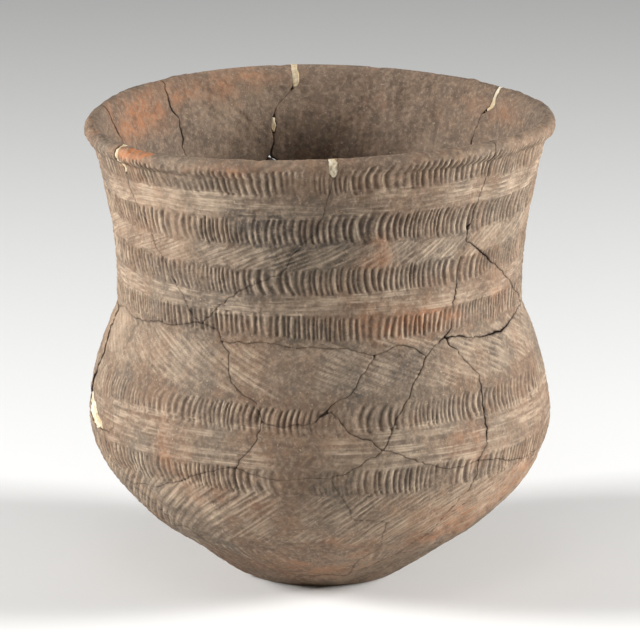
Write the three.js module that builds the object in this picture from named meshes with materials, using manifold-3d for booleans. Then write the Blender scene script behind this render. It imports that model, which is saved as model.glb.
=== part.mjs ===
// A hand-built prehistoric jar, mended from its sherds.
// The pot is turned as one shell, then parted along its fracture lines. Every sherd and every plaster
// fill is a solid of its own, and a thin film of glue parts it from its neighbours.
// Millimetres, +Z up, with the origin at the middle of the flat that the jar stands on.
// An angle is measured round the jar from its front (-Y) and grows towards its right (+X).
// A level is a place up the wall: 0 at the foot, 1 at the belly, 2 at the crease, 3 at the lip.

import * as THREE from "three";
import { mergeVertices } from "three/addons/utils/BufferGeometryUtils.js";
import Module from "manifold-3d";

// Outer form of the pot
const footRadius = 42; // flat that the jar stands on
const bellyRadius = 122.7; // widest part of the body
const bellyHeight = 86;
const creaseRadius = 107.3; // crease where the neck rises from the shoulder
const creaseHeight = 144;
const neckFlare = 14.6; // how far the neck opens between the crease and the lip
const lipHeight = 241.6; // middle of the rolled lip, on average round the mouth
const lipInset = 2.1; // how far the middle of the rolled lip lies inside the outer wall
const lipRoll = 4.8; // radius of the lip's round section
const lowerCurve = 1.89; // how full the lower body is
const shoulderCurve = 1.7; // how round the shoulder is
const neckCurve = 2.2; // how late the neck opens
const waistDepth = 1.8; // slight hollow above the foot
const waistHeight = 17;
const waistSpan = 7;

// Clay
const wallThickness = 7;
const floorThickness = 10;
const floorFillet = 7; // slope where the wall runs into the floor

// Marks of the hand: the body is a little out of round and the lip isn't level
const ovality = 0.6;
const ovalTurn = 0.9; // radians
const triangularity = 0.35;
const triangleTurn = -0.4; // radians
const lipTiltRight = 1.36;
const lipTiltBack = 0.81;
const lipSaddleFront = 1.46; // front and back stand higher than the sides
const lipSaddleCorner = 1.6;

// Mending
const glueFilm = 0.3; // gap between two sherds
const openCrack = 1; // gap where a joint stands open
const lostChip = 2.4; // gap where a crumb is lost from a joint
const rimFillWidth = 4; // plaster let into the top of a rim joint
const rimFillDepth = 11; // how far that plaster runs down from the middle of the lip
const chipWidth = 5; // plaster in the chipped front lip
const chipDepth = 5;
const pocketFullness = 0.8; // share of its full width that a pocket has halfway up

// Fineness of the surface
const turnSteps = 48;
const bodySteps = 8;
const shoulderSteps = 4;
const neckSteps = 5;
const lipSteps = 6;
const breakStep = 12; // longest step along a break
const cornerRoom = 0.5; // least room between two corners of the pot's section

// How far a break's cut runs past the clay: off the wall, above the lip and past its own ends
const cutMargin = 3;
const cutOverrun = 0.3;
const sharpestBend = 0.7; // cosine, past which a break's corners aren't drawn out further
const meshTolerance = 0.08; // corners that lie this close to a flat face are left out

const normalSpan = 2; // height over which the wall's slope is measured
const breakSlopeSpan = 14; // the same for a break, which runs through the wall more evenly

const clearOfRim = 3 + (lipRoll * 3) / (lipHeight - creaseHeight); // level above the lip

// Radius of the outer wall at a height: a full curve from foot to belly, a rounder one from the
// belly in to the crease, and a neck that opens ever faster towards the lip.
function wallRadius(z) {
  if (z < bellyHeight) {
    const down = (bellyHeight - z) / bellyHeight;
    const waist = waistDepth * Math.exp(-(((z - waistHeight) / waistSpan) ** 2));
    return bellyRadius - (bellyRadius - footRadius) * down ** lowerCurve - waist;
  }
  if (z < creaseHeight) {
    const up = (z - bellyHeight) / (creaseHeight - bellyHeight);
    return bellyRadius - (bellyRadius - creaseRadius) * up ** shoulderCurve;
  }
  const rise = (z - creaseHeight) / (lipHeight - creaseHeight);
  return creaseRadius + neckFlare * rise ** neckCurve;
}

// Outward normal of the wall's section at a height, as x = radial and y = vertical
function wallNormal(z, span) {
  const low = Math.max(z - span / 2, 0);
  const high = z + span / 2;
  const along = new THREE.Vector2(wallRadius(high) - wallRadius(low), high - low).normalize();
  return new THREE.Vector2(along.y, -along.x);
}

const lipRadius = wallRadius(lipHeight) - lipInset;

function heightAt(level) {
  if (level < 1) return bellyHeight * level;
  if (level < 2) return THREE.MathUtils.lerp(bellyHeight, creaseHeight, level - 1);
  return creaseHeight + (lipHeight - creaseHeight) * (level - 2);
}

// Takes a point of the true round pot to its place on the hand-made one
function handShape(angle, radius, z) {
  const a = THREE.MathUtils.degToRad(angle);
  const oval = ovality * Math.cos(2 * a + ovalTurn);
  const triangle = triangularity * Math.cos(3 * a + triangleTurn);
  const spread = THREE.MathUtils.smoothstep(z, 0, bellyHeight);
  const lift = THREE.MathUtils.smoothstep(z, creaseHeight, lipHeight);
  const wave =
    lipTiltRight * Math.sin(a) -
    lipTiltBack * Math.cos(a) +
    lipSaddleFront * Math.cos(2 * a) +
    lipSaddleCorner * Math.sin(2 * a);
  const r = radius * (1 + ((oval + triangle) * spread) / bellyRadius);
  return new THREE.Vector3(r * Math.sin(a), -r * Math.cos(a), z + wave * lift);
}

// Closed section of the pot: foot, outer wall, rolled lip, inner wall and floor
function potSection() {
  const heights = [];
  const addHeights = (from, to, steps) => {
    for (let i = 0; i < steps; i++) heights.push(THREE.MathUtils.lerp(from, to, i / steps));
  };
  addHeights(0, bellyHeight, bodySteps);
  addHeights(bellyHeight, creaseHeight, shoulderSteps);
  addHeights(creaseHeight, lipHeight, neckSteps);

  const outside = (z) => new THREE.Vector2(wallRadius(z), z);
  const inside = (z) => outside(z).addScaledVector(wallNormal(z, normalSpan), -wallThickness);
  const lipCentre = new THREE.Vector2(lipRadius, lipHeight);
  const clearOfLip = (p) => p.distanceTo(lipCentre) > lipRoll + cornerRoom && p.y < lipHeight;

  const lipStart = Math.PI * -0.36; // under the outer overhang
  const lipEnd = Math.PI * 1.12; // just below the inner edge
  const lip = [];
  for (let i = 0; i <= lipSteps; i++) {
    const turn = THREE.MathUtils.lerp(lipStart, lipEnd, i / lipSteps);
    const roll = new THREE.Vector2(Math.cos(turn), Math.sin(turn)).multiplyScalar(lipRoll);
    lip.push(roll.add(lipCentre));
  }

  const outerWall = heights.map(outside).filter(clearOfLip);
  const clearOfFloor = (p) => p.y > floorThickness + cornerRoom;
  const innerWall = heights.map(inside).filter((p) => clearOfLip(p) && clearOfFloor(p));
  const floorEdge = new THREE.Vector2(innerWall[0].x - floorFillet, floorThickness);
  const floorCentre = new THREE.Vector2(0, floorThickness);
  const footCentre = new THREE.Vector2(0, 0);
  return [footCentre, ...outerWall, ...lip, ...innerWall.reverse(), floorEdge, floorCentre];
}

const wasm = await Module();
wasm.setup();

// A closed geometry as a solid: shared vertices are merged and collapsed triangles left out
function toSolid(geometry) {
  const bare = geometry.clone();
  bare.deleteAttribute("normal");
  bare.deleteAttribute("uv");
  const merged = mergeVertices(bare, 1e-3);
  const index = merged.index.array;
  const corners = [];
  for (let i = 0; i < index.length; i += 3) {
    const [a, b, c] = [index[i], index[i + 1], index[i + 2]];
    if (a !== b && b !== c && c !== a) corners.push(a, b, c);
  }
  const vertProperties = merged.attributes.position.array;
  const triVerts = new Uint32Array(corners);
  return new wasm.Manifold(new wasm.Mesh({ numProp: 3, vertProperties, triVerts }));
}

function toGeometry(solid) {
  const mesh = solid.getMesh();
  const geometry = new THREE.BufferGeometry();
  geometry.setAttribute("position", new THREE.BufferAttribute(mesh.vertProperties, 3));
  geometry.setIndex(new THREE.BufferAttribute(mesh.triVerts, 1));
  return geometry;
}

function makePot() {
  const geometry = new THREE.LatheGeometry(potSection(), turnSteps);
  const position = geometry.attributes.position;
  for (let i = 0; i < position.count; i++) {
    const radius = Math.hypot(position.getX(i), position.getZ(i));
    const angle = THREE.MathUtils.radToDeg(Math.atan2(position.getX(i), position.getZ(i)));
    const { x, y, z } = handShape(angle, radius, position.getY(i));
    position.setXYZ(i, x, y, z);
  }
  return toSolid(geometry);
}

// Middle of the wall at an angle and level, with the direction that a break runs through it
function wallStation(angle, level) {
  const z = heightAt(level);
  const through = wallNormal(z, breakSlopeSpan);
  const radius = wallRadius(z) - (through.x * wallThickness) / 2;
  const centre = handShape(angle, radius, z - (through.y * wallThickness) / 2);
  const a = THREE.MathUtils.degToRad(angle);
  const normal = new THREE.Vector3(through.x * Math.sin(a), -through.x * Math.cos(a), through.y);
  return { centre, normal };
}

// The stations of a break, with extra ones where two of its points lie far apart
function breakStations(points) {
  const stations = [];
  points.forEach(([angle, level, gap = glueFilm], i) => {
    if (i > 0) {
      const [lastAngle, lastLevel, lastGap = glueFilm] = points[i - 1];
      const run = wallStation(angle, level).centre.distanceTo(stations.at(-1).centre);
      const steps = Math.ceil(run / breakStep);
      for (let k = 1; k < steps; k++) {
        const share = k / steps;
        stations.push({
          ...wallStation(
            THREE.MathUtils.lerp(lastAngle, angle, share),
            THREE.MathUtils.lerp(lastLevel, level, share),
          ),
          gap: THREE.MathUtils.lerp(lastGap, gap, share),
        });
      }
    }
    stations.push({ ...wallStation(angle, level), gap });
  });
  return stations;
}

// Thin closed blade that follows a break and stands through the wall all along it
function breakBlade(points) {
  const stations = breakStations(points);
  const reach = wallThickness / 2 + cutMargin + lipRoll / 2;
  const corners = [];
  stations.forEach(({ centre, normal, gap }, i) => {
    const before = stations[Math.max(i - 1, 0)].centre;
    const after = stations[Math.min(i + 1, stations.length - 1)].centre;
    const along = after.clone().sub(before).normalize();
    const across = new THREE.Vector3().crossVectors(along, normal).normalize();
    const bend = i > 0 ? along.dot(centre.clone().sub(before).normalize()) : 1;
    const half = gap / 2 / Math.max(bend, sharpestBend);
    const end = i === 0 ? -cutOverrun : i === stations.length - 1 ? cutOverrun : 0;
    const middle = centre.clone().addScaledVector(along, end);
    for (const [side, out] of [[-1, -1], [1, -1], [1, 1], [-1, 1]]) {
      const corner = middle.clone().addScaledVector(across, side * half);
      corner.addScaledVector(normal, out * reach);
      corners.push(corner);
    }
  });

  // Both flanks are split along the same diagonal, so a twisted blade keeps its thickness
  const faces = [];
  const addQuad = (a, b, c, d) => faces.push(a, b, c, a, c, d);
  for (let i = 0; i < corners.length - 4; i += 4) {
    addQuad(i, i + 4, i + 5, i + 1);
    addQuad(i + 1, i + 5, i + 6, i + 2);
    addQuad(i + 2, i + 6, i + 7, i + 3);
    addQuad(i + 7, i + 4, i, i + 3);
  }
  const last = corners.length - 4;
  addQuad(0, 1, 2, 3);
  addQuad(last + 3, last + 2, last + 1, last);

  const geometry = new THREE.BufferGeometry().setFromPoints(corners);
  geometry.setIndex(faces);
  return toSolid(geometry);
}

// Where breaks meet, each as [angle, level]
const neckLeft = [-35, 2.1];
const neckRight = [43, 2.51];
const neckBack = [-165, 2.57, lostChip];
const creaseRight = [37, 2.02, lostChip];
const creaseHole = [59, 1.96, lostChip];
const creaseFarRight = [84, 2.03];
const flakeLeft = [15.5, 1.96];
const flakeRight = [30, 1.9];
const shoulderFrontLeft = [-28.5, 2.02];
const shoulderFarLeft = [-63, 2.03];
const shoulderSide = [-82, 2.02];
const bellyLeft = [-14.5, 1.4];
const bellyMiddle = [-2, 1.39];
const bellyRight = [15, 1.14];
const crackRight = [42, 0.95];
const plasterRight = [-68.5, 1];
const plasterLeft = [-88, 1.2, openCrack];
const lowerLeft = [-60, 0.68];
const lowerFront = [-21, 0.97];
const lowerMiddle = [2, 0.93];

// The break above the foot stays clear of the floor, so its points rise from the floor's own level
const aboveFloor = (angle, rise) => [angle, floorThickness / bellyHeight + rise];
const baseLeft = aboveFloor(-46, 0.34);
const baseFront = aboveFloor(14, 0.01);
const baseRight = aboveFloor(30, 0.17);
const baseSide = aboveFloor(99, 0.15);
const baseBackRight = aboveFloor(153, 0.16);
const baseBack = aboveFloor(-160, 0.13);
const baseBackLeft = aboveFloor(-112, 0.22);

// A rim joint without plaster runs straight off the lip, and one with plaster ends below it
const offRim = (angle) => [angle, clearOfRim];
const pocketFoot = (angle, depth) => [angle, 3 - depth / (lipHeight - creaseHeight)];
const fillFrontLeft = pocketFoot(-57, rimFillDepth);
const fillBack = pocketFoot(-170.5, rimFillDepth);
const fillBackRight = pocketFoot(129, rimFillDepth);
const fillChip = pocketFoot(3, chipDepth);
const streakFoot = [-166, 2.66];
const streakTop = [-166.5, 2.78];

// Breaks of the neck and rim
const neckBreaks = [
  [neckLeft, [-39, 2.17], [-40.5, 2.22], [-45.5, 2.34], [-48, 2.43], [-51, 2.5], [-52, 2.58],
    [-54, 2.65], [-57.5, 2.8], fillFrontLeft],
  [neckLeft, [-28.5, 2.22], [-23.5, 2.29], [-17.5, 2.36], [-10, 2.43], [-6.5, 2.54], [-1, 2.64],
    [1, 2.78], fillChip],
  [neckRight, [43, 2.59, 0.6], [44.5, 2.64], [46, 2.74], [47, 2.84], offRim(46.5)],
  [neckRight, [51, 2.42, 0.7], [57, 2.35], [62.5, 2.29], [66, 2.24], [74, 2.13], creaseFarRight],
  [neckRight, [42, 2.44], [41, 2.37], [40.5, 2.31, openCrack], [40, 2.22, openCrack], [39, 2.12],
    [39, 2.06, openCrack], creaseRight],
  [[-104, 2.03], [-108, 2.2], [-105, 2.45], [-109, 2.65], [-106.5, 2.84], [-105, 2.9, openCrack],
    offRim(-102)],
  [[-131, 2.03], [-134, 2.25], [-139, 2.45], [-135.5, 2.67], [-136.5, 2.71, openCrack],
    [-136, 2.82], [-134, 2.88, openCrack], offRim(-133)],
  [neckBack, streakFoot],
  [streakTop, [-168, 2.84], fillBack],
  [neckBack, [-157, 2.38], [-152, 2.2], [-156, 2.03]],
  [neckBack, [-172, 2.4], [-171, 2.22], [-177, 2.02]],
  [[131, 2.03], [136, 2.25], [129, 2.5], [131.5, 2.72, openCrack], [130.5, 2.76], fillBackRight],
];

// Breaks of the shoulder, between the crease and the belly
const shoulderBreaks = [
  [neckLeft, [-29, 2.07], shoulderFrontLeft, [-25.5, 1.95], [-23.5, 1.7], [-16, 1.55], bellyLeft],
  [shoulderFarLeft, [-66.5, 1.73], [-67.5, 1.59], [-67, 1.45], [-64, 1.29], [-62, 1.08],
    [-64.5, 1.01], plasterRight],
  [shoulderSide, [-84, 1.8], [-81, 1.6], [-86, 1.45], [-88, 1.32, openCrack], plasterLeft],
  [creaseRight, [34.5, 1.99], flakeRight],
  [flakeRight, [27, 1.77], [24, 1.65], [20, 1.45], [17.5, 1.28], bellyRight],
  [flakeLeft, [9.5, 1.73], [7, 1.62], [3.5, 1.57], [0, 1.46, 0.6], bellyMiddle],
  [creaseRight, [41, 1.87], [43, 1.79], [46, 1.66], [45.5, 1.45, openCrack], [45, 1.15, openCrack],
    [45, 1.06], crackRight],
  [[90, 2.03], [94, 1.78], [87, 1.5], [92, 1.2], [88, 0.93]],
  [[126, 2.02], [132, 1.75], [125, 1.45], [131, 1.2], [130, 0.97]],
  [[172, 2.02], [178, 1.72], [172, 1.45], [177, 1.1]],
  [[-148, 2.02], [-142, 1.7], [-149, 1.4], [-146, 1.2], [-152, 1.04]],
  [[-112, 2.02], [-115, 1.75], [-109, 1.4], [-116, 1.15], [-114, 0.97]],
];

// Breaks that run round the pot: along the crease, under the belly and above the foot
const roundBreaks = [
  [neckLeft, [-45, 2.06], [-54, 2.05], shoulderFarLeft],
  [shoulderFarLeft, [-72, 2.04], shoulderSide, [-93, 2.04], [-104, 2.03], [-112, 2.02],
    [-122, 2.05], [-131, 2.03], [-140, 2.05], [-148, 2.02], [-156, 2.03], [-167, 2.05],
    [-177, 2.02]],
  [[183, 2.02], [172, 2.02], [160, 2.05], [146, 2.02], [131, 2.03], [126, 2.02], [113, 2.05],
    [100, 2.04], [90, 2.03], creaseFarRight, [72, 2.0], creaseHole, [48, 1.97], creaseRight],
  [shoulderFrontLeft, [-18, 2.03], [-6, 2.01], [6, 2.01], flakeLeft],
  [flakeLeft, [19, 1.99], [23, 2.01], [28, 1.95], flakeRight],
  [bellyLeft, [-8, 1.36], bellyMiddle],
  [bellyMiddle, [2.5, 1.49], [7, 1.3], [11.5, 1.24], bellyRight],
  [bellyRight, [22, 1.04], [33, 0.93], crackRight],
  [bellyLeft, [-16, 1.2], [-19, 1.07], lowerFront],
  [lowerFront, [-10, 0.92], lowerMiddle, [9, 1.0], bellyRight],
  [plasterRight, [-65, 0.83], lowerLeft],
  [lowerLeft, [-52, 0.73], [-44, 0.77], [-38, 0.82], [-30, 0.91], lowerFront],
  [plasterRight, [-73, 1.09], [-79, 1.17], [-84, 1.19], plasterLeft],
  [plasterRight, [-75, 0.97], [-81, 1.0], [-86, 1.09], plasterLeft],
  [plasterLeft, [-94, 1.12], [-104, 1.04], [-114, 0.97], [-121, 0.9], [-133, 0.96], [-143, 0.99],
    [-152, 1.04], [-163, 0.98], [-174, 1.06], [-183, 1.1]],
  [[177, 1.1], [169, 1.02], [158, 0.93], [150, 0.87], [140, 0.93], [130, 0.97], [119, 0.91],
    [108, 0.97], [97, 0.92], [88, 0.93], [74, 0.84], [60, 0.86], crackRight],
  [baseLeft, aboveFloor(-43.5, 0.25), aboveFloor(-36, 0.14), aboveFloor(-26.5, 0.08),
    aboveFloor(-23, 0.03), aboveFloor(-14, 0), aboveFloor(0, 0), baseFront],
  [baseFront, aboveFloor(22, 0.07), baseRight],
  [baseRight, aboveFloor(45, 0.2), aboveFloor(62, 0.14), aboveFloor(80, 0.1), baseSide,
    aboveFloor(117, 0.21), aboveFloor(136, 0.19), baseBackRight],
  [baseBackRight, aboveFloor(172, 0.1), aboveFloor(188, 0.08)],
  [aboveFloor(-172, 0.08), baseBack, aboveFloor(-145, 0.21), aboveFloor(-128, 0.24), baseBackLeft,
    aboveFloor(-98, 0.28), aboveFloor(-75, 0.31), aboveFloor(-58, 0.29), baseLeft],
];

// Breaks of the lower body
const lowerBreaks = [
  [lowerLeft, [-56, 0.59], [-53.5, 0.5], baseLeft],
  [lowerMiddle, [6, 0.78], [9, 0.64], [18.5, 0.59], [20, 0.4], [15, 0.26], baseFront],
  [crackRight, [42, 0.82], [40.5, 0.71], [36.5, 0.58], [35.5, 0.47], baseRight],
  [[97, 0.92], [102, 0.7], [95, 0.5], baseSide],
  [[150, 0.87], [156, 0.65], [149, 0.47], baseBackRight],
  [[-163, 0.98], [-158, 0.75], [-165, 0.5], baseBack],
  [[-121, 0.9], [-113, 0.7], [-119, 0.5], baseBackLeft],
];

// Two breaks that part above a joint, round a pocket of plaster that is open at the lip
function rimPocket(angle, foot, width) {
  const half = THREE.MathUtils.radToDeg(width / 2 / lipRadius);
  const middle = (foot[1] + 3) / 2;
  return [-1, 1].map((side) => [
    foot,
    [angle + side * half * pocketFullness, middle],
    [angle + side * half, clearOfRim],
  ]);
}

const pocketBreaks = [
  ...rimPocket(-58, fillFrontLeft, rimFillWidth),
  ...rimPocket(3, fillChip, chipWidth),
  ...rimPocket(-173, fillBack, rimFillWidth),
  ...rimPocket(126, fillBackRight, rimFillWidth),
  [streakFoot, [-167, 2.72], streakTop],
  [streakFoot, [-165.3, 2.72], streakTop],
];

// A spot on each piece, as [angle, level]
const sherdSpots = {
  rim_sherd_front_left: [-30, 2.6],
  neck_sherd_front: [15, 2.4],
  neck_sherd_right: [55, 2.15],
  rim_sherd_right: [90, 2.6],
  rim_sherd_back_right: [155, 2.6],
  neck_sherd_back: [-164, 2.2],
  rim_sherd_back: [-150, 2.7],
  rim_sherd_back_left: [-120, 2.5],
  neck_sherd_left: [-80, 2.5],
  shoulder_sherd_front_left: [-5, 1.7],
  shoulder_sherd_front: [14, 1.5],
  shoulder_sherd_front_right: [33, 1.4],
  shoulder_sherd_right: [65, 1.5],
  shoulder_sherd_right_back: [108, 1.5],
  shoulder_sherd_back_right: [150, 1.5],
  shoulder_sherd_back: [-166, 1.6],
  shoulder_sherd_back_left: [-130, 1.5],
  shoulder_sherd_left_back: [-100, 1.6],
  shoulder_sherd_far_left: [-74, 1.5],
  shoulder_sherd_left: [-45, 1.3],
  belly_sherd_front: [-5, 1.15],
  lower_sherd_front_left: [-25, 0.5],
  lower_sherd_front_right: [28, 0.6],
  lower_sherd_right: [65, 0.55],
  lower_sherd_back_right: [125, 0.6],
  lower_sherd_back: [178, 0.6],
  lower_sherd_back_left: [-140, 0.6],
  lower_sherd_left: [-85, 0.7],
  base_sherd: aboveFloor(60, 0.05),
};

const fillSpots = {
  plaster_fill_belly: [-79, 1.08],
  plaster_fill_rim_front_left: [-58, 3],
  plaster_fill_rim_back: [-173, 3],
  plaster_fill_rim_back_right: [126, 3],
  plaster_fill_neck_back: [-166.2, 2.72],
  plaster_chip_front_lip: [3, 3],
};

// Parts the pot along all its breaks and finds each piece by the spot named for it
function breakPot() {
  const breaks = [
    ...neckBreaks,
    ...shoulderBreaks,
    ...roundBreaks,
    ...lowerBreaks,
    ...pocketBreaks,
  ];
  const blades = wasm.Manifold.union(breaks.map(breakBlade));
  const cutPot = makePot().subtract(blades).asOriginal();
  const pieces = cutPot.simplify(meshTolerance).decompose();
  const probeSize = glueFilm;
  return ([angle, level]) => {
    const { centre } = wallStation(angle, level);
    const probe = new THREE.BoxGeometry(probeSize, probeSize, probeSize);
    const spot = toSolid(probe.translate(centre.x, centre.y, centre.z));
    return pieces.find((piece) => !piece.intersect(spot).isEmpty());
  };
}

function addPieces(jar, findPiece, spots, material) {
  Object.entries(spots).forEach(([name, spot], i) => {
    const mesh = new THREE.Mesh(toGeometry(findPiece(spot)), material(i));
    mesh.name = name;
    jar.add(mesh);
  });
}

// Fired clay, a little different in tone from one sherd to the next
function clay(i) {
  const tone = 0.24 + 0.035 * Math.sin(i * 2.4);
  const color = new THREE.Color().setHSL(0.07, 0.26, tone);
  return new THREE.MeshStandardMaterial({ color, roughness: 0.9, metalness: 0 });
}

function plaster() {
  return new THREE.MeshStandardMaterial({ color: 0xcdbf9c, roughness: 0.95, metalness: 0 });
}

const jar = new THREE.Group();
const findPiece = breakPot();
addPieces(jar, findPiece, sherdSpots, clay);
addPieces(jar, findPiece, fillSpots, plaster);

export default jar;
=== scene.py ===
# Looks of a hand-built jar with engraved bands, mended from its sherds with plaster in the losses.
# Every sherd is a closed shell on a grid that runs round the jar (angle) and up its wall (station).
# Angles are degrees from the front (-Y) and grow to the right (+X). A station is the length in
# millimetres along the outer wall from the edge of the foot. A level is a place up the wall:
# 0 at the foot, 1 at the belly, 2 at the crease, 3 at the middle of the lip.

import math

import bpy
import numpy as np
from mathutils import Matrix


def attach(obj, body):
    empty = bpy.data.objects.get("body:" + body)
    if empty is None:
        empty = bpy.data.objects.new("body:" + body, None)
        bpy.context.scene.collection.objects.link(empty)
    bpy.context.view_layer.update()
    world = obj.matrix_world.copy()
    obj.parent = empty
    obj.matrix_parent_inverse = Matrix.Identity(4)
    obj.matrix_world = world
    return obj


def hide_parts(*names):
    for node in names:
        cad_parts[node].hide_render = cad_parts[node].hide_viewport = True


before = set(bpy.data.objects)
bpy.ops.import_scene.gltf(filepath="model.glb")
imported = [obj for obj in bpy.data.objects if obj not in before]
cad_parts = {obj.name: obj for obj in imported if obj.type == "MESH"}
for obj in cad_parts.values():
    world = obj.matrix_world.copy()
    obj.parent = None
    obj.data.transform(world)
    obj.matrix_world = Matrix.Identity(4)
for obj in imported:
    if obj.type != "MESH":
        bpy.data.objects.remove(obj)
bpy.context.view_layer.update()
print("frame loaded with", len(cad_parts), "nodes")

mm = 0.001


# Camera at the photograph's viewing angle
cameraSet = {
    "place": (-0.00027, -3.107, 0.886),  # metres
    "tilt": 76.4,  # degrees from straight down
    "lens": 339.62,  # mm
    "sensor": 36.0,
    "farthest": 50.0,  # metres, how deep it sees
}


def makeCamera():
    data = bpy.data.cameras.new("camera")
    data.lens = cameraSet["lens"]
    data.sensor_width = cameraSet["sensor"]
    data.clip_end = cameraSet["farthest"]
    camera = bpy.data.objects.new("camera", data)
    camera.location = cameraSet["place"]
    camera.rotation_euler = (math.radians(cameraSet["tilt"]), 0.0, 0.0)
    bpy.context.scene.collection.objects.link(camera)
    bpy.context.scene.camera = camera


makeCamera()
print("camera placed")


# Form of the pot, in millimetres
pot = {
    "footRadius": 42.0,
    "bellyRadius": 122.7,
    "bellyHeight": 86.0,
    "creaseRadius": 107.3,
    "creaseHeight": 144.0,
    "neckFlare": 14.6,
    "lipHeight": 241.6,
    "lipInset": 2.1,
    "lipRoll": 4.8,
    "lowerCurve": 1.89,
    "shoulderCurve": 1.7,
    "neckCurve": 2.2,
    "waistDepth": 1.8,
    "waistHeight": 17.0,
    "waistSpan": 7.0,
    "wall": 7.0,
    "floor": 10.0,
    "floorFillet": 7.0,
    "ovality": 0.6,
    "ovalTurn": 0.9,
    "triangularity": 0.35,
    "triangleTurn": -0.4,
    "tiltRight": 1.36,
    "tiltBack": 0.81,
    "saddleFront": 1.46,
    "saddleCorner": 1.6,
    "underLip": 236.5,  # height where the wall runs into the rolled lip
    "lipStart": -0.3,  # where the lip's arc starts, in half turns from level; it ends straight up
    "innerLip": 222.0,  # height where the inner wall starts to bend over the lip
    "lipClimb": 17.0,  # how far the inner wall aims on before it turns over the lip
    "lipFlat": 3.4,  # how flat the lip is on top, inside its crown
    "bendStart": 0.5,  # how far above the floor the inner wall starts to bend into it
    "skin": 0.35,  # how far inside the bare form the dressed surface lies, as room for its swells
}

# Fineness of the profile
profileSet = {
    "step": 0.5,  # mm between the heights of the wall
    "lipPoints": 40,
    "overLipPoints": 60,
    "slopePoints": 4,  # the inner wall's direction under the lip is taken over this many points
}

lipLevel = 3.0
neckTall = pot["lipHeight"] - pot["creaseHeight"]


def smooth(x, low, high):
    # zero below low, one above high, and an S curve between them
    t = np.clip((x - low) / (high - low), 0.0, 1.0)
    return t * t * (3.0 - 2.0 * t)


def turnFrom(angle, middle):
    # degrees from one angle to another, the short way round
    return (angle - middle + 180.0) % 360.0 - 180.0


def wallRadius(z):
    # radius by height: a full curve from foot to belly, a rounder one in to the crease, and a
    # neck that opens ever faster towards the lip
    z = np.asarray(z, float)
    down = np.clip((pot["bellyHeight"] - z) / pot["bellyHeight"], 0.0, 1.0)
    waist = pot["waistDepth"] * np.exp(-(((z - pot["waistHeight"]) / pot["waistSpan"]) ** 2))
    lower = pot["bellyRadius"] - (pot["bellyRadius"] - pot["footRadius"]) * down ** pot["lowerCurve"]
    up = np.clip((z - pot["bellyHeight"]) / (pot["creaseHeight"] - pot["bellyHeight"]), 0.0, 1.0)
    upper = pot["bellyRadius"] - (pot["bellyRadius"] - pot["creaseRadius"]) * up ** pot["shoulderCurve"]
    rise = np.clip((z - pot["creaseHeight"]) / neckTall, 0.0, 1.0)
    neck = pot["creaseRadius"] + pot["neckFlare"] * rise ** pot["neckCurve"]
    body = np.where(z < pot["bellyHeight"], lower - waist, upper)
    return np.where(z < pot["creaseHeight"], body, neck)


def levelHeight(level):
    # height in millimetres of a level, straight between foot, belly, crease and lip
    marks = [0.0, pot["bellyHeight"], pot["creaseHeight"], pot["lipHeight"]]
    high = pot["creaseHeight"] + neckTall * (level - 2.0)
    return np.where(np.asarray(level) > 2.0, high, np.interp(level, [0.0, 1.0, 2.0, lipLevel], marks))


def handShape(angle, radius, z):
    # a true round point moved to the hand-made pot: the radius swells with two and three waves
    # round the body, and the height lifts with one and two waves towards the lip
    a = np.radians(angle)
    swell = pot["ovality"] * np.cos(2 * a + pot["ovalTurn"])
    swell = swell + pot["triangularity"] * np.cos(3 * a + pot["triangleTurn"])
    lift = pot["tiltRight"] * np.sin(a) - pot["tiltBack"] * np.cos(a)
    lift = lift + pot["saddleFront"] * np.cos(2 * a) + pot["saddleCorner"] * np.sin(2 * a)
    r = radius * (1.0 + swell * smooth(z, 0.0, pot["bellyHeight"]) / pot["bellyRadius"])
    high = z + lift * smooth(z, pot["creaseHeight"], pot["lipHeight"])
    return np.stack([r * np.sin(a), -r * np.cos(a), high], axis=-1)


def pathLength(r, z):
    # length run along a path at each of its points
    return np.concatenate([[0.0], np.cumsum(np.hypot(np.diff(r), np.diff(z)))])


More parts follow.
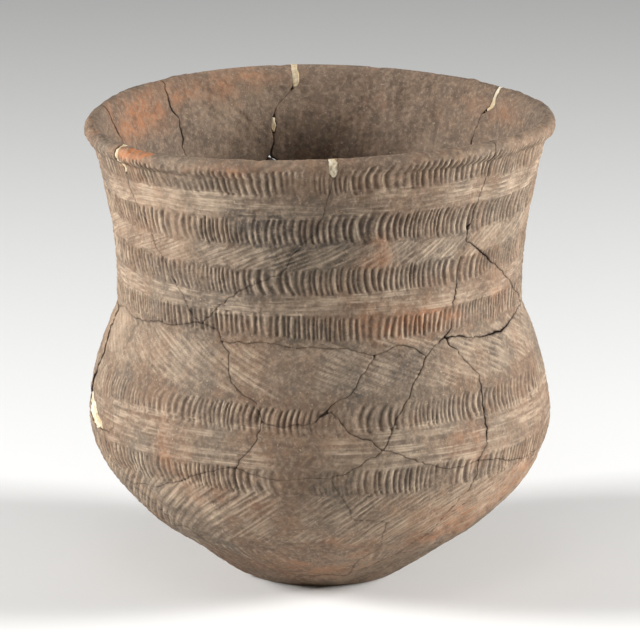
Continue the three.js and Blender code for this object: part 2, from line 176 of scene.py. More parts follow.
def makeProfiles():
    # outer wall up to the lip and round it to its crown, and the inner wall carried on the same
    # stations: a wall's thickness inside, flat on the floor below and round the lip above
    z = np.arange(0.0, pot["underLip"], profileSet["step"])
    lipRadius = float(wallRadius(pot["lipHeight"])) - pot["lipInset"]
    turn = np.linspace(pot["lipStart"] * math.pi, 0.5 * math.pi, profileSet["lipPoints"])
    outerR = np.concatenate([wallRadius(z), lipRadius + pot["lipRoll"] * np.cos(turn)])
    outerZ = np.concatenate([z, pot["lipHeight"] + pot["lipRoll"] * np.sin(turn)])
    station = pathLength(outerR, outerZ)
    alongR = np.gradient(outerR, station)
    alongZ = np.gradient(outerZ, station)
    size = np.hypot(alongR, alongZ)
    normalR, normalZ = alongZ / size, -alongR / size

    innerR = outerR - pot["wall"] * normalR
    innerZ = outerZ - pot["wall"] * normalZ
    first = int(np.argmax(innerZ > pot["floor"] + pot["bendStart"]))
    share = station[:first] / station[first]
    innerR[:first] = innerR[first] - pot["floorFillet"] * (1.0 - share)
    innerZ[:first] = pot["floor"] + (innerZ[first] - pot["floor"]) * share**2

    # a cubic curve from the inner wall, on in its own direction and over to the crown
    last = int(np.argmax(outerZ > pot["innerLip"]))
    before = last - profileSet["slopePoints"]
    slopeR, slopeZ = innerR[last] - innerR[before], innerZ[last] - innerZ[before]
    climb = pot["lipClimb"] / math.hypot(slopeR, slopeZ)
    bendR = [innerR[last], innerR[last] + slopeR * climb, lipRadius - pot["lipFlat"], lipRadius]
    bendZ = [innerZ[last], innerZ[last] + slopeZ * climb, outerZ[-1], outerZ[-1]]
    t = np.linspace(0.0, 1.0, profileSet["overLipPoints"])
    weights = np.stack([(1 - t) ** 3, 3 * t * (1 - t) ** 2, 3 * t**2 * (1 - t), t**3], -1)
    pathR, pathZ = weights @ bendR, weights @ bendZ
    run = pathLength(pathR, pathZ)
    reached = (station[last:] - station[last]) / (station[-1] - station[last]) * run[-1]
    innerR[last:] = np.interp(reached, run, pathR)
    innerZ[last:] = np.interp(reached, run, pathZ)
    backR = np.gradient(innerR, station)
    backZ = np.gradient(innerZ, station)
    size = np.hypot(backR, backZ)
    return {
        "station": station,
        "outerR": outerR,
        "outerZ": outerZ,
        "normalR": normalR,
        "normalZ": normalZ,
        "innerR": innerR,
        "innerZ": innerZ,
        "backR": -backZ / size,
        "backZ": backR / size,
    }


profile = makeProfiles()
crown = float(profile["station"][-1])


def along(name, station):
    return np.interp(station, profile["station"], profile[name])


def stationOf(level):
    # station of a level, drawn on past the crown for breaks that run off the rim
    z = levelHeight(level)
    past = np.maximum(z - profile["outerZ"][-1], 0.0)
    return np.interp(z, profile["outerZ"], profile["station"]) + past


# Joints: where the pot broke. Each point is angle, level and, where it stands open, a gap. Lengths
# are in mm
joint = {
    "seed": 11,
    "gap": 0.1,  # ordinary glued joint
    "openCrack": 0.6,
    "lostChip": 0.8,
    "raggedness": 0.62,  # how far a joint wanders between its points
    "fullLeg": 9.0,  # length of a leg that wanders that far; shorter ones wander less
    "mostWander": 1.5,  # a longer leg wanders at most this many times as far
    "stride": 2.4,  # length of a straight stretch of a joint
    "reach": 7.0,  # how far from a joint its distance is known
    "drawReach": 1.6,  # how far a corner of a sherd's border may be moved on to the joint
    "stainAndShade": 0.5,  # how far the painted shade of a joint spreads
    "closedTone": 0.5,  # how dark the painted shade of a closed joint is, where an open one is 1
    "pastRim": 3.0,  # how far above the lip's middle a break runs off, in radii of the lip
    "rimFillWidth": 4.0,  # the fills in the rim, and the chip in its front
    "rimFillDepth": 11.0,
    "chipWidth": 5.0,
    "chipDepth": 5.0,
    "pocketFullness": 0.8,  # how wide they are halfway down, as a share of their width on top
}

openCrack = joint["openCrack"]
lostChip = joint["lostChip"]
clearOfRim = lipLevel + pot["lipRoll"] * joint["pastRim"] / neckTall


def aboveFloor(angle, rise):
    return (angle, pot["floor"] / pot["bellyHeight"] + rise)


def pocketFoot(angle, depth):
    return (angle, lipLevel - depth / neckTall)


def offRim(angle):
    return (angle, clearOfRim)


neckLeft = (-35, 2.1)
neckRight = (43, 2.51)
neckBack = (-165, 2.57, lostChip)
creaseRight = (37, 2.02, lostChip)
creaseHole = (59, 1.96, lostChip)
creaseFarRight = (84, 2.03)
flakeLeft = (15.5, 1.96)
flakeRight = (30, 1.9)
shoulderFrontLeft = (-28.5, 2.02)
shoulderFarLeft = (-63, 2.03)
shoulderSide = (-82, 2.02)
bellyLeft = (-14.5, 1.4)
bellyMiddle = (-2, 1.39)
bellyRight = (15, 1.14)
crackRight = (42, 0.95)
plasterRight = (-68.5, 1)
plasterLeft = (-88, 1.2, openCrack)
lowerLeft = (-60, 0.68)
lowerFront = (-21, 0.97)
lowerMiddle = (2, 0.93)
baseLeft = aboveFloor(-46, 0.34)
baseFront = aboveFloor(14, 0.01)
baseRight = aboveFloor(30, 0.17)
baseSide = aboveFloor(99, 0.15)
baseBackRight = aboveFloor(153, 0.16)
baseBack = aboveFloor(-160, 0.13)
baseBackLeft = aboveFloor(-112, 0.22)
fillFrontLeft = pocketFoot(-57, joint["rimFillDepth"])
fillBack = pocketFoot(-170.5, joint["rimFillDepth"])
fillBackRight = pocketFoot(129, joint["rimFillDepth"])
fillChip = pocketFoot(3, joint["chipDepth"])
streakFoot = (-166, 2.66)
streakTop = (-166.5, 2.78)


def rimPocket(angle, foot, width):
    # both sides of a fill in the rim, from its foot over a bulge to the lip
    half = math.degrees(width / 2 / (pot["creaseRadius"] + pot["neckFlare"] - pot["lipInset"]))
    middle = (foot[1] + lipLevel) / 2.0
    bulge = half * joint["pocketFullness"]
    return [[foot, (angle + side * bulge, middle), (angle + side * half, clearOfRim)] for side in (-1, 1)]


neckBreaks = [
    [neckLeft, (-39, 2.17), (-40.5, 2.22), (-45.5, 2.34), (-48, 2.43), (-51, 2.5), (-52, 2.58),
     (-54, 2.65), (-57.5, 2.8), fillFrontLeft],
    [neckLeft, (-28.5, 2.22), (-23.5, 2.29), (-17.5, 2.36), (-10, 2.43), (-6.5, 2.54), (-1, 2.64),
     (1, 2.78), fillChip],
    [neckRight, (43, 2.59, 0.6), (44.5, 2.64), (46, 2.74), (47, 2.84), offRim(46.5)],
    [neckRight, (51, 2.42, 0.7), (57, 2.35), (62.5, 2.29), (66, 2.24), (74, 2.13), creaseFarRight],
    [neckRight, (42, 2.44), (41, 2.37), (40.5, 2.31, openCrack), (40, 2.22, openCrack), (39, 2.12),
     (39, 2.06, openCrack), creaseRight],
    [(-104, 2.03), (-108, 2.2), (-105, 2.45), (-109, 2.65), (-106.5, 2.84), (-105, 2.9, openCrack),
     offRim(-102)],
    [(-131, 2.03), (-134, 2.25), (-139, 2.45), (-135.5, 2.67), (-136.5, 2.71, openCrack),
     (-136, 2.82), (-134, 2.88, openCrack), offRim(-133)],
    [neckBack, streakFoot],
    [streakTop, (-168, 2.84), fillBack],
    [neckBack, (-157, 2.38), (-152, 2.2), (-156, 2.03)],
    [neckBack, (-172, 2.4), (-171, 2.22), (-177, 2.02)],
    [(131, 2.03), (136, 2.25), (129, 2.5), (131.5, 2.72, openCrack), (130.5, 2.76), fillBackRight],
]

shoulderBreaks = [
    [neckLeft, (-29, 2.07), shoulderFrontLeft, (-25.5, 1.95), (-23.5, 1.7), (-16, 1.55), bellyLeft],
    [shoulderFarLeft, (-66.5, 1.73), (-67.5, 1.59), (-67, 1.45), (-64, 1.29), (-62, 1.08),
     (-64.5, 1.01), plasterRight],
    [shoulderSide, (-84, 1.8), (-81, 1.6), (-86, 1.45), (-88, 1.32, openCrack), plasterLeft],
    [creaseRight, (34.5, 1.99), flakeRight],
    [flakeRight, (27, 1.77), (24, 1.65), (20, 1.45), (17.5, 1.28), bellyRight],
    [flakeLeft, (9.5, 1.73), (7, 1.62), (3.5, 1.57), (0, 1.46, 0.6), bellyMiddle],
    [creaseRight, (41, 1.87), (43, 1.79), (46, 1.66), (45.5, 1.45, openCrack), (45, 1.15, openCrack),
     (45, 1.06), crackRight],
    [(90, 2.03), (94, 1.78), (87, 1.5), (92, 1.2), (88, 0.93)],
    [(126, 2.02), (132, 1.75), (125, 1.45), (131, 1.2), (130, 0.97)],
    [(172, 2.02), (178, 1.72), (172, 1.45), (177, 1.1)],
    [(-148, 2.02), (-142, 1.7), (-149, 1.4), (-146, 1.2), (-152, 1.04)],
    [(-112, 2.02), (-115, 1.75), (-109, 1.4), (-116, 1.15), (-114, 0.97)],
]

roundBreaks = [
    [neckLeft, (-45, 2.06), (-54, 2.05), shoulderFarLeft],
    [shoulderFarLeft, (-72, 2.04), shoulderSide, (-93, 2.04), (-104, 2.03), (-112, 2.02),
     (-122, 2.05), (-131, 2.03), (-140, 2.05), (-148, 2.02), (-156, 2.03), (-167, 2.05),
     (-177, 2.02)],
    [(183, 2.02), (172, 2.02), (160, 2.05), (146, 2.02), (131, 2.03), (126, 2.02), (113, 2.05),
     (100, 2.04), (90, 2.03), creaseFarRight, (72, 2.0), creaseHole, (48, 1.97), creaseRight],
    [shoulderFrontLeft, (-18, 2.03), (-6, 2.01), (6, 2.01), flakeLeft],
    [flakeLeft, (19, 1.99), (23, 2.01), (28, 1.95), flakeRight],
    [bellyLeft, (-8, 1.36), bellyMiddle],
    [bellyMiddle, (2.5, 1.49), (7, 1.3), (11.5, 1.24), bellyRight],
    [bellyRight, (22, 1.04), (33, 0.93), crackRight],
    [bellyLeft, (-16, 1.2), (-19, 1.07), lowerFront],
    [lowerFront, (-10, 0.92), lowerMiddle, (9, 1.0), bellyRight],
    [plasterRight, (-65, 0.83), lowerLeft],
    [lowerLeft, (-52, 0.73), (-44, 0.77), (-38, 0.82), (-30, 0.91), lowerFront],
    [plasterRight, (-73, 1.09), (-79, 1.17), (-84, 1.19), plasterLeft],
    [plasterRight, (-75, 0.97), (-81, 1.0), (-86, 1.09), plasterLeft],
    [plasterLeft, (-94, 1.12), (-104, 1.04), (-114, 0.97), (-121, 0.9), (-133, 0.96), (-143, 0.99),
     (-152, 1.04), (-163, 0.98), (-174, 1.06), (-183, 1.1)],
    [(177, 1.1), (169, 1.02), (158, 0.93), (150, 0.87), (140, 0.93), (130, 0.97), (119, 0.91),
     (108, 0.97), (97, 0.92), (88, 0.93), (74, 0.84), (60, 0.86), crackRight],
    [baseLeft, aboveFloor(-43.5, 0.25), aboveFloor(-36, 0.14), aboveFloor(-26.5, 0.08),
     aboveFloor(-23, 0.03), aboveFloor(-14, 0), aboveFloor(0, 0), baseFront],
    [baseFront, aboveFloor(22, 0.07), baseRight],
    [baseRight, aboveFloor(45, 0.2), aboveFloor(62, 0.14), aboveFloor(80, 0.1), baseSide,
     aboveFloor(117, 0.21), aboveFloor(136, 0.19), baseBackRight],
    [baseBackRight, aboveFloor(172, 0.1), aboveFloor(188, 0.08)],
    [aboveFloor(-172, 0.08), baseBack, aboveFloor(-145, 0.21), aboveFloor(-128, 0.24), baseBackLeft,
     aboveFloor(-98, 0.28), aboveFloor(-75, 0.31), aboveFloor(-58, 0.29), baseLeft],
]

lowerBreaks = [
    [lowerLeft, (-56, 0.59), (-53.5, 0.5), baseLeft],
    [lowerMiddle, (6, 0.78), (9, 0.64), (18.5, 0.59), (20, 0.4), (15, 0.26), baseFront],
    [crackRight, (42, 0.82), (40.5, 0.71), (36.5, 0.58), (35.5, 0.47), baseRight],
    [(97, 0.92), (102, 0.7), (95, 0.5), baseSide],
    [(150, 0.87), (156, 0.65), (149, 0.47), baseBackRight],
    [(-163, 0.98), (-158, 0.75), (-165, 0.5), baseBack],
    [(-121, 0.9), (-113, 0.7), (-119, 0.5), baseBackLeft],
]

pocketBreaks = [
    *rimPocket(-58, fillFrontLeft, joint["rimFillWidth"]),
    *rimPocket(3, fillChip, joint["chipWidth"]),
    *rimPocket(-173, fillBack, joint["rimFillWidth"]),
    *rimPocket(126, fillBackRight, joint["rimFillWidth"]),
    [streakFoot, (-167, 2.72), streakTop],
    [streakFoot, (-165.3, 2.72), streakTop],
]

allBreaks = neckBreaks + shoulderBreaks + roundBreaks + lowerBreaks + pocketBreaks

# A spot on each piece, as angle and level
sherdSpots = {
    "rim_sherd_front_left": (-30, 2.6),
    "neck_sherd_front": (15, 2.4),
    "neck_sherd_right": (55, 2.15),
    "rim_sherd_right": (90, 2.6),
    "rim_sherd_back_right": (155, 2.6),
    "neck_sherd_back": (-164, 2.2),
    "rim_sherd_back": (-150, 2.7),
    "rim_sherd_back_left": (-120, 2.5),
    "neck_sherd_left": (-80, 2.5),
    "shoulder_sherd_front_left": (-5, 1.7),
    "shoulder_sherd_front": (14, 1.5),
    "shoulder_sherd_front_right": (33, 1.4),
    "shoulder_sherd_right": (65, 1.5),
    "shoulder_sherd_right_back": (108, 1.5),
    "shoulder_sherd_back_right": (150, 1.5),
    "shoulder_sherd_back": (-166, 1.6),
    "shoulder_sherd_back_left": (-130, 1.5),
    "shoulder_sherd_left_back": (-100, 1.6),
    "shoulder_sherd_far_left": (-74, 1.5),
    "shoulder_sherd_left": (-45, 1.3),
    "belly_sherd_front": (-5, 1.15),
    "lower_sherd_front_left": (-25, 0.5),
    "lower_sherd_front_right": (28, 0.6),
    "lower_sherd_right": (65, 0.55),
    "lower_sherd_back_right": (125, 0.6),
    "lower_sherd_back": (178, 0.6),
    "lower_sherd_back_left": (-140, 0.6),
    "lower_sherd_left": (-85, 0.7),
    "base_sherd": aboveFloor(60, 0.05),
}

fillSpots = {
    "plaster_fill_belly": (-79, 1.08),
    "plaster_fill_rim_front_left": (-58, lipLevel),
    "plaster_fill_rim_back": (-173, lipLevel),
    "plaster_fill_rim_back_right": (126, lipLevel),
    "plaster_fill_neck_back": (-166.2, 2.72),
    "plaster_chip_front_lip": (3, lipLevel),
}


def gapAt(point):
    return point[2] if len(point) > 2 else joint["gap"]


def raggedJoints():
    # each break as short straight stretches: its points are kept, and the places between them are
    # pushed sideways by a seeded random walk that fades out at both ends of each leg
    draw = np.random.default_rng(joint["seed"])
    starts, ends, gapStart, gapEnd = [], [], [], []
    for line in allBreaks:
        for first, second in zip(line[:-1], line[1:]):
            a0, s0 = first[0], float(stationOf(first[1]))
            a1, s1 = second[0], float(stationOf(second[1]))
            radius = float(along("outerR", (s0 + s1) / 2))
            acrossMm = math.radians(a1 - a0) * radius
            length = math.hypot(acrossMm, s1 - s0)
            count = max(int(round(length / joint["stride"])), 1)
            t = np.linspace(0.0, 1.0, count + 1)
            walk = np.cumsum(draw.normal(0.0, 1.0, count + 1))
            walk = walk - walk[0] - (walk[-1] - walk[0]) * t
            far = min(length / joint["fullLeg"], joint["mostWander"])
            push = walk / max(np.abs(walk).max(), 1.0) * joint["raggedness"] * far
            sideA = -(s1 - s0) / max(length, 1e-6)
            sideS = acrossMm / max(length, 1e-6)
            angles = a0 + (a1 - a0) * t + np.degrees(push * sideA / radius)
            stations = s0 + (s1 - s0) * t + push * sideS
            gaps = gapAt(first) + (gapAt(second) - gapAt(first)) * t
            starts.append(np.stack([angles[:-1], stations[:-1]], -1))
            ends.append(np.stack([angles[1:], stations[1:]], -1))
            gapStart.append(gaps[:-1])
            gapEnd.append(gaps[1:])
    return [np.concatenate(part) for part in (starts, ends, gapStart, gapEnd)]


segments = raggedJoints()
print("joints drawn in", len(segments[0]), "stretches")


def nearestJoint(angles, stations):
    # for every point of a grid: the vector in mm to the nearest joint, the gap there, and the way
    # left to its edge. One stretch at a time is laid over the points that it can be nearest to
    shape = (len(angles), len(stations))
    clear = np.full(shape, joint["reach"])
    toAcross = np.zeros(shape)
    toUp = np.full(shape, joint["reach"])
    gap = np.full(shape, joint["gap"])
    radii = along("outerR", stations)
    for (a0, s0), (a1, s1), g0, g1 in zip(*segments):
        radius = float(along("outerR", (s0 + s1) / 2))
        middle = (a0 + a1) / 2
        turn = turnFrom(angles, middle)
        span = abs(a1 - a0) / 2 + math.degrees(joint["reach"] / radius)
        cols = np.nonzero(np.abs(turn) <= span)[0]
        low = np.searchsorted(stations, min(s0, s1) - joint["reach"])
        high = np.searchsorted(stations, max(s0, s1) + joint["reach"])
        if len(cols) == 0 or high <= low:
            continue
        scale = np.radians(1.0) * radii[None, low:high]
        px = turn[cols][:, None] * scale
        py = np.broadcast_to(stations[None, low:high] - s0, px.shape)
        ax = (a0 - middle) * scale
        bx = (a1 - a0) * scale
        by = s1 - s0
        t = np.clip(((px - ax) * bx + py * by) / (bx * bx + by * by + 1e-9), 0.0, 1.0)
        dx = ax + t * bx - px
        dy = t * by - py
        width = g0 + (g1 - g0) * t
        free = np.hypot(dx, dy) - width / 2
        window = np.ix_(cols, np.arange(low, high))
        better = free < clear[window]
        clear[window] = np.where(better, free, clear[window])
        toAcross[window] = np.where(better, dx, toAcross[window])
        toUp[window] = np.where(better, dy, toUp[window])
        gap[window] = np.where(better, width, gap[window])
    return {"clear": clear, "toAcross": toAcross, "toUp": toUp, "gap": gap}


def spreadRuns(label, free, axis, backwards):
    # carries each label along its row or column until a joint stops it
    if backwards:
        label, free = np.flip(label, axis), np.flip(free, axis)
    place = np.arange(label.shape[axis])
    place = place[:, None] if axis == 0 else place[None, :]
    place = np.broadcast_to(place, label.shape)
    lastWall = np.maximum.accumulate(np.where(free, -1, place), axis=axis)
    lastMark = np.maximum.accumulate(np.where(label > 0, place, -1), axis=axis)
    carried = np.take_along_axis(label, np.maximum(lastMark, 0), axis=axis)
    spread = np.where(free & (label == 0) & (lastMark > lastWall), carried, label)
    return np.flip(spread, axis) if backwards else spread


# How cells are given to pieces
labelling = {
    "barrier": 0.56,  # half width of a joint to a label, as a share of a cell's longer side
    "leastBarrier": 0.4,  # the same, at least, as a share of a column's width at the belly
    "rounds": 60,
    "looks": (0.7, 1.0, 1.4, 1.9),  # mm from its middle that a cell on a joint looks for a piece
    "lastRounds": 8,
}


def labelCells(angles, stations, near, names, spots):
    # numbers every cell by the piece that it lies on: a number is set at each piece's spot and
    # flows outwards until it meets a joint, and cells on a joint take the number beside them
    column = np.radians(angles[1] - angles[0]) * pot["bellyRadius"]
    widest = np.radians(np.diff(angles).max()) * along("outerR", stations)
    reach = np.hypot(near["toAcross"], near["toUp"])
    wall = np.maximum(widest, np.diff(stations).max()) * labelling["barrier"]
    free = reach > np.maximum(wall, column * labelling["leastBarrier"])[None, :]
    label = np.zeros(free.shape, int)
    for number, name in enumerate(names, start=1):
        angle, level = spots[name]
        col = int(np.argmin(np.abs(turnFrom(angles, angle))))
        row = int(np.argmin(np.abs(stations - float(stationOf(level)))))
        label[col, row] = number
        free[col, row] = True

    # the grid is turned by a third after each round, so that labels also flow over its seam
    shift = len(angles) // 3
    turned = 0
    for turn in range(labelling["rounds"]):
        before = np.count_nonzero(label)
        for axis in (0, 1):
            for backwards in (False, True):
                label = spreadRuns(label, free, axis, backwards)
        label, free = np.roll(label, shift, 0), np.roll(free, shift, 0)
        turned += shift
        if turn % 3 == 2 and np.count_nonzero(label) == before:
            break
    label = np.roll(label, -turned, 0)

    # a cell on a joint looks straight away from it for its piece
    cols, rows = np.nonzero(label == 0)
    size = np.maximum(reach[cols, rows], 1e-6)
    awayAcross = -near["toAcross"][cols, rows] / size
    awayUp = -near["toUp"][cols, rows] / size
    radius = along("outerR", stations[rows])
    found = np.zeros(len(cols), int)
    for look in labelling["looks"]:
        angle = angles[cols] + np.degrees(awayAcross * look / radius)
        angle = (angle - angles[0]) % 360.0 + angles[0]
        col = np.clip(np.searchsorted(angles, angle), 0, len(angles) - 1)
        left = (col - 1) % len(angles)
        col = np.where(np.abs(angles[left] - angle) < np.abs(angles[col] - angle), left, col)
        up = stations[rows] + awayUp * look
        row = np.clip(np.rint(np.interp(up, stations, np.arange(len(stations)))), 0, len(stations) - 1)
        seen = label[col, row.astype(int)]
        found = np.where(found == 0, seen, found)
    label[cols, rows] = found

    # what is still without a piece takes its neighbour's
    for again in range(labelling["lastRounds"]):
        for axis, way in ((0, 1), (0, -1), (1, 1), (1, -1)):
            beside = np.roll(label, way, axis)
            if axis == 1:
                beside[:, 0 if way == 1 else -1] = 0
            label = np.where(label == 0, beside, label)
    return label


# Fine surface: swells of the hand and wear, in mm
surface = {
    "swell": 0.34,  # broad unevenness of the wall
    "dimple": 0.13,
    "grit": 0.05,
    "plasterGrit": 0.22,
    "deepest": -1.0,  # the swells are held between these
    "highest": 0.8,
    "innerSwell": 0.5,
    "innerDimple": 0.12,
    "innerHighest": 0.9,
    "innerFade": (10.0, 1.0),  # the inner swells fade out between these distances from the crown
    "floorSwell": 0.25,
    "floorRadius": 40.0,
    "footFade": 6.0,  # the surface is plain at the foot's edge and full this far up
    "jointDip": 0.14,  # how deep the edges of a joint are worn down
    "jointWear": 0.6,  # how far from the joint that wear reaches
    "wearSwell": 0.38,  # how much the wear of the engraving differs by itself, as a share
    "fineWear": 0.12,
    "mostWear": 0.85,  # share of the engraving that is gone where it is most worn
    "girth": 722.0,  # length round the pot that wave lengths are counted on
    "waveSpread": 0.75,
}

# Seed, wave length in mm and number of sine waves of each seeded unevenness
ripples = {
    "swell": (21, 46.0, 22),
    "dimple": (22, 11.0, 30),
    "grit": (23, 3.4, 40),
    "plasterGrit": (24, 4.2, 40),
    "innerSwell": (25, 34.0, 22),
    "innerDimple": (26, 9.0, 30),
    "wearSwell": (31, 34.0, 22),
    "fineWear": (32, 8.0, 30),
    "lipNicks": (51, 14.0, 30),
    "lipBreak": (52, 5.0, 24),
    "floorSwell": (61, 22.0, 22),
}


def ripple(angle, station, name):
    # sum of seeded sine waves of about one length, each with a whole number of waves round
    seed, length, count = ripples[name]
    draw = np.random.default_rng(seed)
    wavesRound = np.rint(draw.normal(0.0, surface["waveSpread"], count) * surface["girth"] / length)
    climb = draw.normal(0.0, surface["waveSpread"], count) * 2 * math.pi / length
    phase = draw.uniform(0.0, 2 * math.pi, count)
    total = np.zeros(np.shape(angle))
    turn = np.radians(angle)
    for n, c, p in zip(wavesRound, climb, phase):
        total = total + np.sin(n * turn + c * station + p)
    return total / math.sqrt(count / 2)


# Engraved bands from the lip down. Heights are mm above the foot at the front
bands = [
    {"kind": "crescents", "middle": 234.0, "tall": 15.0, "count": 218, "bow": 1.2, "lean": 0.5,
     "deep": 0.95, "seed": 101},
    {"kind": "ruled", "middle": 221.0, "lines": 5, "space": 2.7, "deep": 0.55, "seed": 102},
    {"kind": "crescents", "middle": 206.5, "tall": 15.0, "count": 214, "bow": 1.5, "lean": -0.4,
     "deep": 0.95, "seed": 103},
    {"kind": "hatch", "middle": 194.0, "tall": 13.0, "count": 132, "slope": 25.0, "deep": 0.75,
     "seed": 104},
    {"kind": "crescents", "middle": 180.5, "tall": 14.0, "count": 212, "bow": 1.3, "lean": 0.6,
     "deep": 0.9, "seed": 105},
    {"kind": "ruled", "middle": 167.5, "lines": 4, "space": 2.7, "deep": 0.55, "seed": 106},
    {"kind": "crescents", "middle": 156.0, "tall": 12.5, "count": 226, "bow": 0.3, "lean": 0.2,
     "deep": 0.95, "seed": 107},
    {"kind": "hatch", "middle": 135.5, "tall": 26.0, "count": 98, "slope": -26.0, "deep": 0.7,
     "seed": 108},
    {"kind": "crescents", "middle": 110.5, "tall": 14.0, "count": 216, "bow": 1.8, "lean": -0.8,
     "deep": 0.9, "seed": 109},
    {"kind": "ruled", "middle": 95.5, "lines": 5, "space": 4.9, "deep": 0.55, "seed": 110},
    {"kind": "crescents", "middle": 76.0, "tall": 15.0, "count": 210, "bow": 1.4, "lean": 0.9,
     "deep": 0.85, "seed": 111},
    {"kind": "hatch", "middle": 54.0, "tall": 36.0, "count": 104, "slope": 33.0, "deep": 0.7,
     "seed": 112},
    {"kind": "crescents", "middle": 26.0, "tall": 10.0, "count": 96, "bow": 0.2, "lean": 0.4,
     "deep": 0.2, "seed": 113},
]

# How the strokes of each kind of band are cut
cutShape = {
    "crescents": {
        "width": 0.82,  # mm, half width of a stroke
        "ridgeAt": 1.45,  # mm, how far beside it the clay is pushed up
        "ridgeWidth": 0.5,
        "jitter": 0.09,  # how much strokes differ in place and tilt, in strokes
        "tilt": 0.1,
        "shallowest": 0.55,  # as a share of the band's depth
        "longer": 0.08,  # how far a stroke may pass the band's edge, in half heights of the band
        "shorter": 0.2,  # how far it may stay inside it
        "softOut": 0.1,  # taper of a stroke's end, past its place and before it
        "softIn": 0.14,
        "bowLimit": 1.6,  # the bow stops growing at this square of the height
        "lean": 0.6,  # share of the band's own lean, and of the lean that differs by side
        "leanWaves": 1.5,
        "leanTo": 120.0,  # degrees from the front where the lean stops changing
        "drift": ((0.9, 7), (0.6, 13)),  # strokes, and waves round the pot
    },
    "ruled": {
        "width": 0.62,
        "ridgeAt": 1.2,
        "ridgeWidth": 0.45,
        "waver": ((0.45, 3), (0.3, 9)),  # mm, and waves round the pot
        "strength": 0.75,
        "strengthWaves": ((0.4, 6), (0.3, 17)),
        "faintest": 0.1,
    },
    "hatch": {
        "width": 0.68,
        "ridgeAt": 1.3,
        "ridgeWidth": 0.45,
        "jitter": 0.11,
        "tilt": 0.16,
        "shallowest": 0.45,
        "longer": 0.12,
        "shorter": 0.3,
        "softOut": 0.08,
        "softIn": 0.08,
        "mostRise": 30.0,  # mm above or below the band's middle where the slant stops
        "fan": ((0.22, 2),),  # share of the slant, and waves round the pot
        "drift": ((0.5, 5),),
    },
}

ridgeShare = 0.22  # height of the pushed-up clay, as a share of its stroke's depth
bandWander = ((0.7, 1), (0.6, 2), (0.5, 5))  # mm up and down, and waves round the pot
strokeSeed = 500  # added to a band's seed for its strokes


def waves(angle, parts, phases, start=0.0):
    # sum of sine waves round the pot, each with its own strength and number of waves
    total = start
    for (strength, count), phase in zip(parts, phases):
        total = total + strength * np.sin(count * np.radians(angle) + phase)
    return total


def bandMiddle(angle, band):
    # a course wanders up and down as it goes round: three slow waves of its own
    phases = np.random.default_rng(band["seed"]).uniform(0.0, 2 * math.pi, len(bandWander))
    return band["middle"] + waves(angle, bandWander, phases)


def strokePitch(band):
    return 2 * math.pi * wallRadius(band["middle"]) / band["count"]


def cutAndRidge(away, shape):
    # a bell across the stroke, and a bell at each side of it for the clay that was pushed up
    cut = np.exp(-((away / shape["width"]) ** 2))
    lifted = np.exp(-(((np.abs(away) - shape["ridgeAt"]) / shape["ridgeWidth"]) ** 2))
    return cut, lifted


def strokes(u, v, squeeze, band, shape):
    # the whole part of u is a stroke's number and the rest its place across, v is the height in
    # half heights of the band: a bell across each stroke, tapered at the stroke's own two ends
    draw = np.random.default_rng(band["seed"] + strokeSeed)
    count = band["count"]
    jitter = draw.normal(0.0, shape["jitter"], count)
    deep = draw.uniform(shape["shallowest"], 1.0, count)
    low = -1.0 + draw.uniform(-shape["longer"], shape["shorter"], count)
    high = 1.0 - draw.uniform(-shape["longer"], shape["shorter"], count)
    tilt = draw.normal(0.0, shape["tilt"], count)
    k = np.floor(u).astype(int) % count
    across = u - np.floor(u) - 0.5 + jitter[k] + tilt[k] * v
    begun = smooth(v, low[k] - shape["softOut"], low[k] + shape["softIn"])
    ended = smooth(v, high[k] - shape["softIn"], high[k] + shape["softOut"])
    ends = begun * (1.0 - ended)
    cut, lifted = cutAndRidge(across * strokePitch(band) * squeeze, shape)
    return cut * ends * deep[k], lifted * ends * deep[k]


def crescents(angle, z, band):
    # upright strokes: the way round the pot gives the stroke's number, bowed by one less the
    # square of the height in the band, and leaning to either side of the pot
    shape = cutShape["crescents"]
    v = (z - bandMiddle(angle, band)) / (band["tall"] / 2)
    side = np.radians(np.clip(angle, -shape["leanTo"], shape["leanTo"]))
    lean = shape["lean"] * band["lean"] - shape["lean"] * np.sin(shape["leanWaves"] * side)
    bend = (band["bow"] * (1.0 - np.minimum(v * v, shape["bowLimit"])) + lean * v) / strokePitch(band)
    u = (angle / 360.0 + 0.5) * band["count"] + bend
    u = u + waves(angle, shape["drift"], (band["seed"], 0.0))
    return strokes(u, v, 1.0, band, shape)


def ruled(angle, z, band):
    # parallel lines round the pot, each with a slow waver and a strength that comes and goes
    shape = cutShape["ruled"]
    draw = np.random.default_rng(band["seed"] + strokeSeed)
    middle = bandMiddle(angle, band)
    cut = np.zeros(np.shape(z))
    lifted = np.zeros(np.shape(z))
    for n in range(band["lines"]):
        phases = draw.uniform(0.0, 2 * math.pi, 4)
        height = middle + ((band["lines"] - 1) / 2 - n) * band["space"]
        height = height + waves(angle, shape["waver"], phases[:2])
        strength = waves(angle, shape["strengthWaves"], phases[2:], shape["strength"])
        strength = np.clip(strength, shape["faintest"], 1.0)
        lineCut, lineLifted = cutAndRidge(z - height, shape)
        cut = np.maximum(cut, lineCut * strength)
        lifted = np.maximum(lifted, lineLifted * strength)
    return cut, lifted


def hatch(angle, z, band):
    # slanting strokes: the way round less the height over the slope gives the stroke's number
    shape = cutShape["hatch"]
    slope = math.radians(band["slope"])
    rise = z - bandMiddle(angle, band)
    fan = waves(angle, shape["fan"], (band["seed"],), 1.0)
    slant = np.clip(rise, -shape["mostRise"], shape["mostRise"]) / math.tan(slope)
    u = (angle / 360.0 + 0.5) * band["count"] - slant * fan / strokePitch(band)
    u = u + waves(angle, shape["drift"], (band["seed"],))
    return strokes(u, rise / (band["tall"] / 2), abs(math.sin(slope)), band, shape)


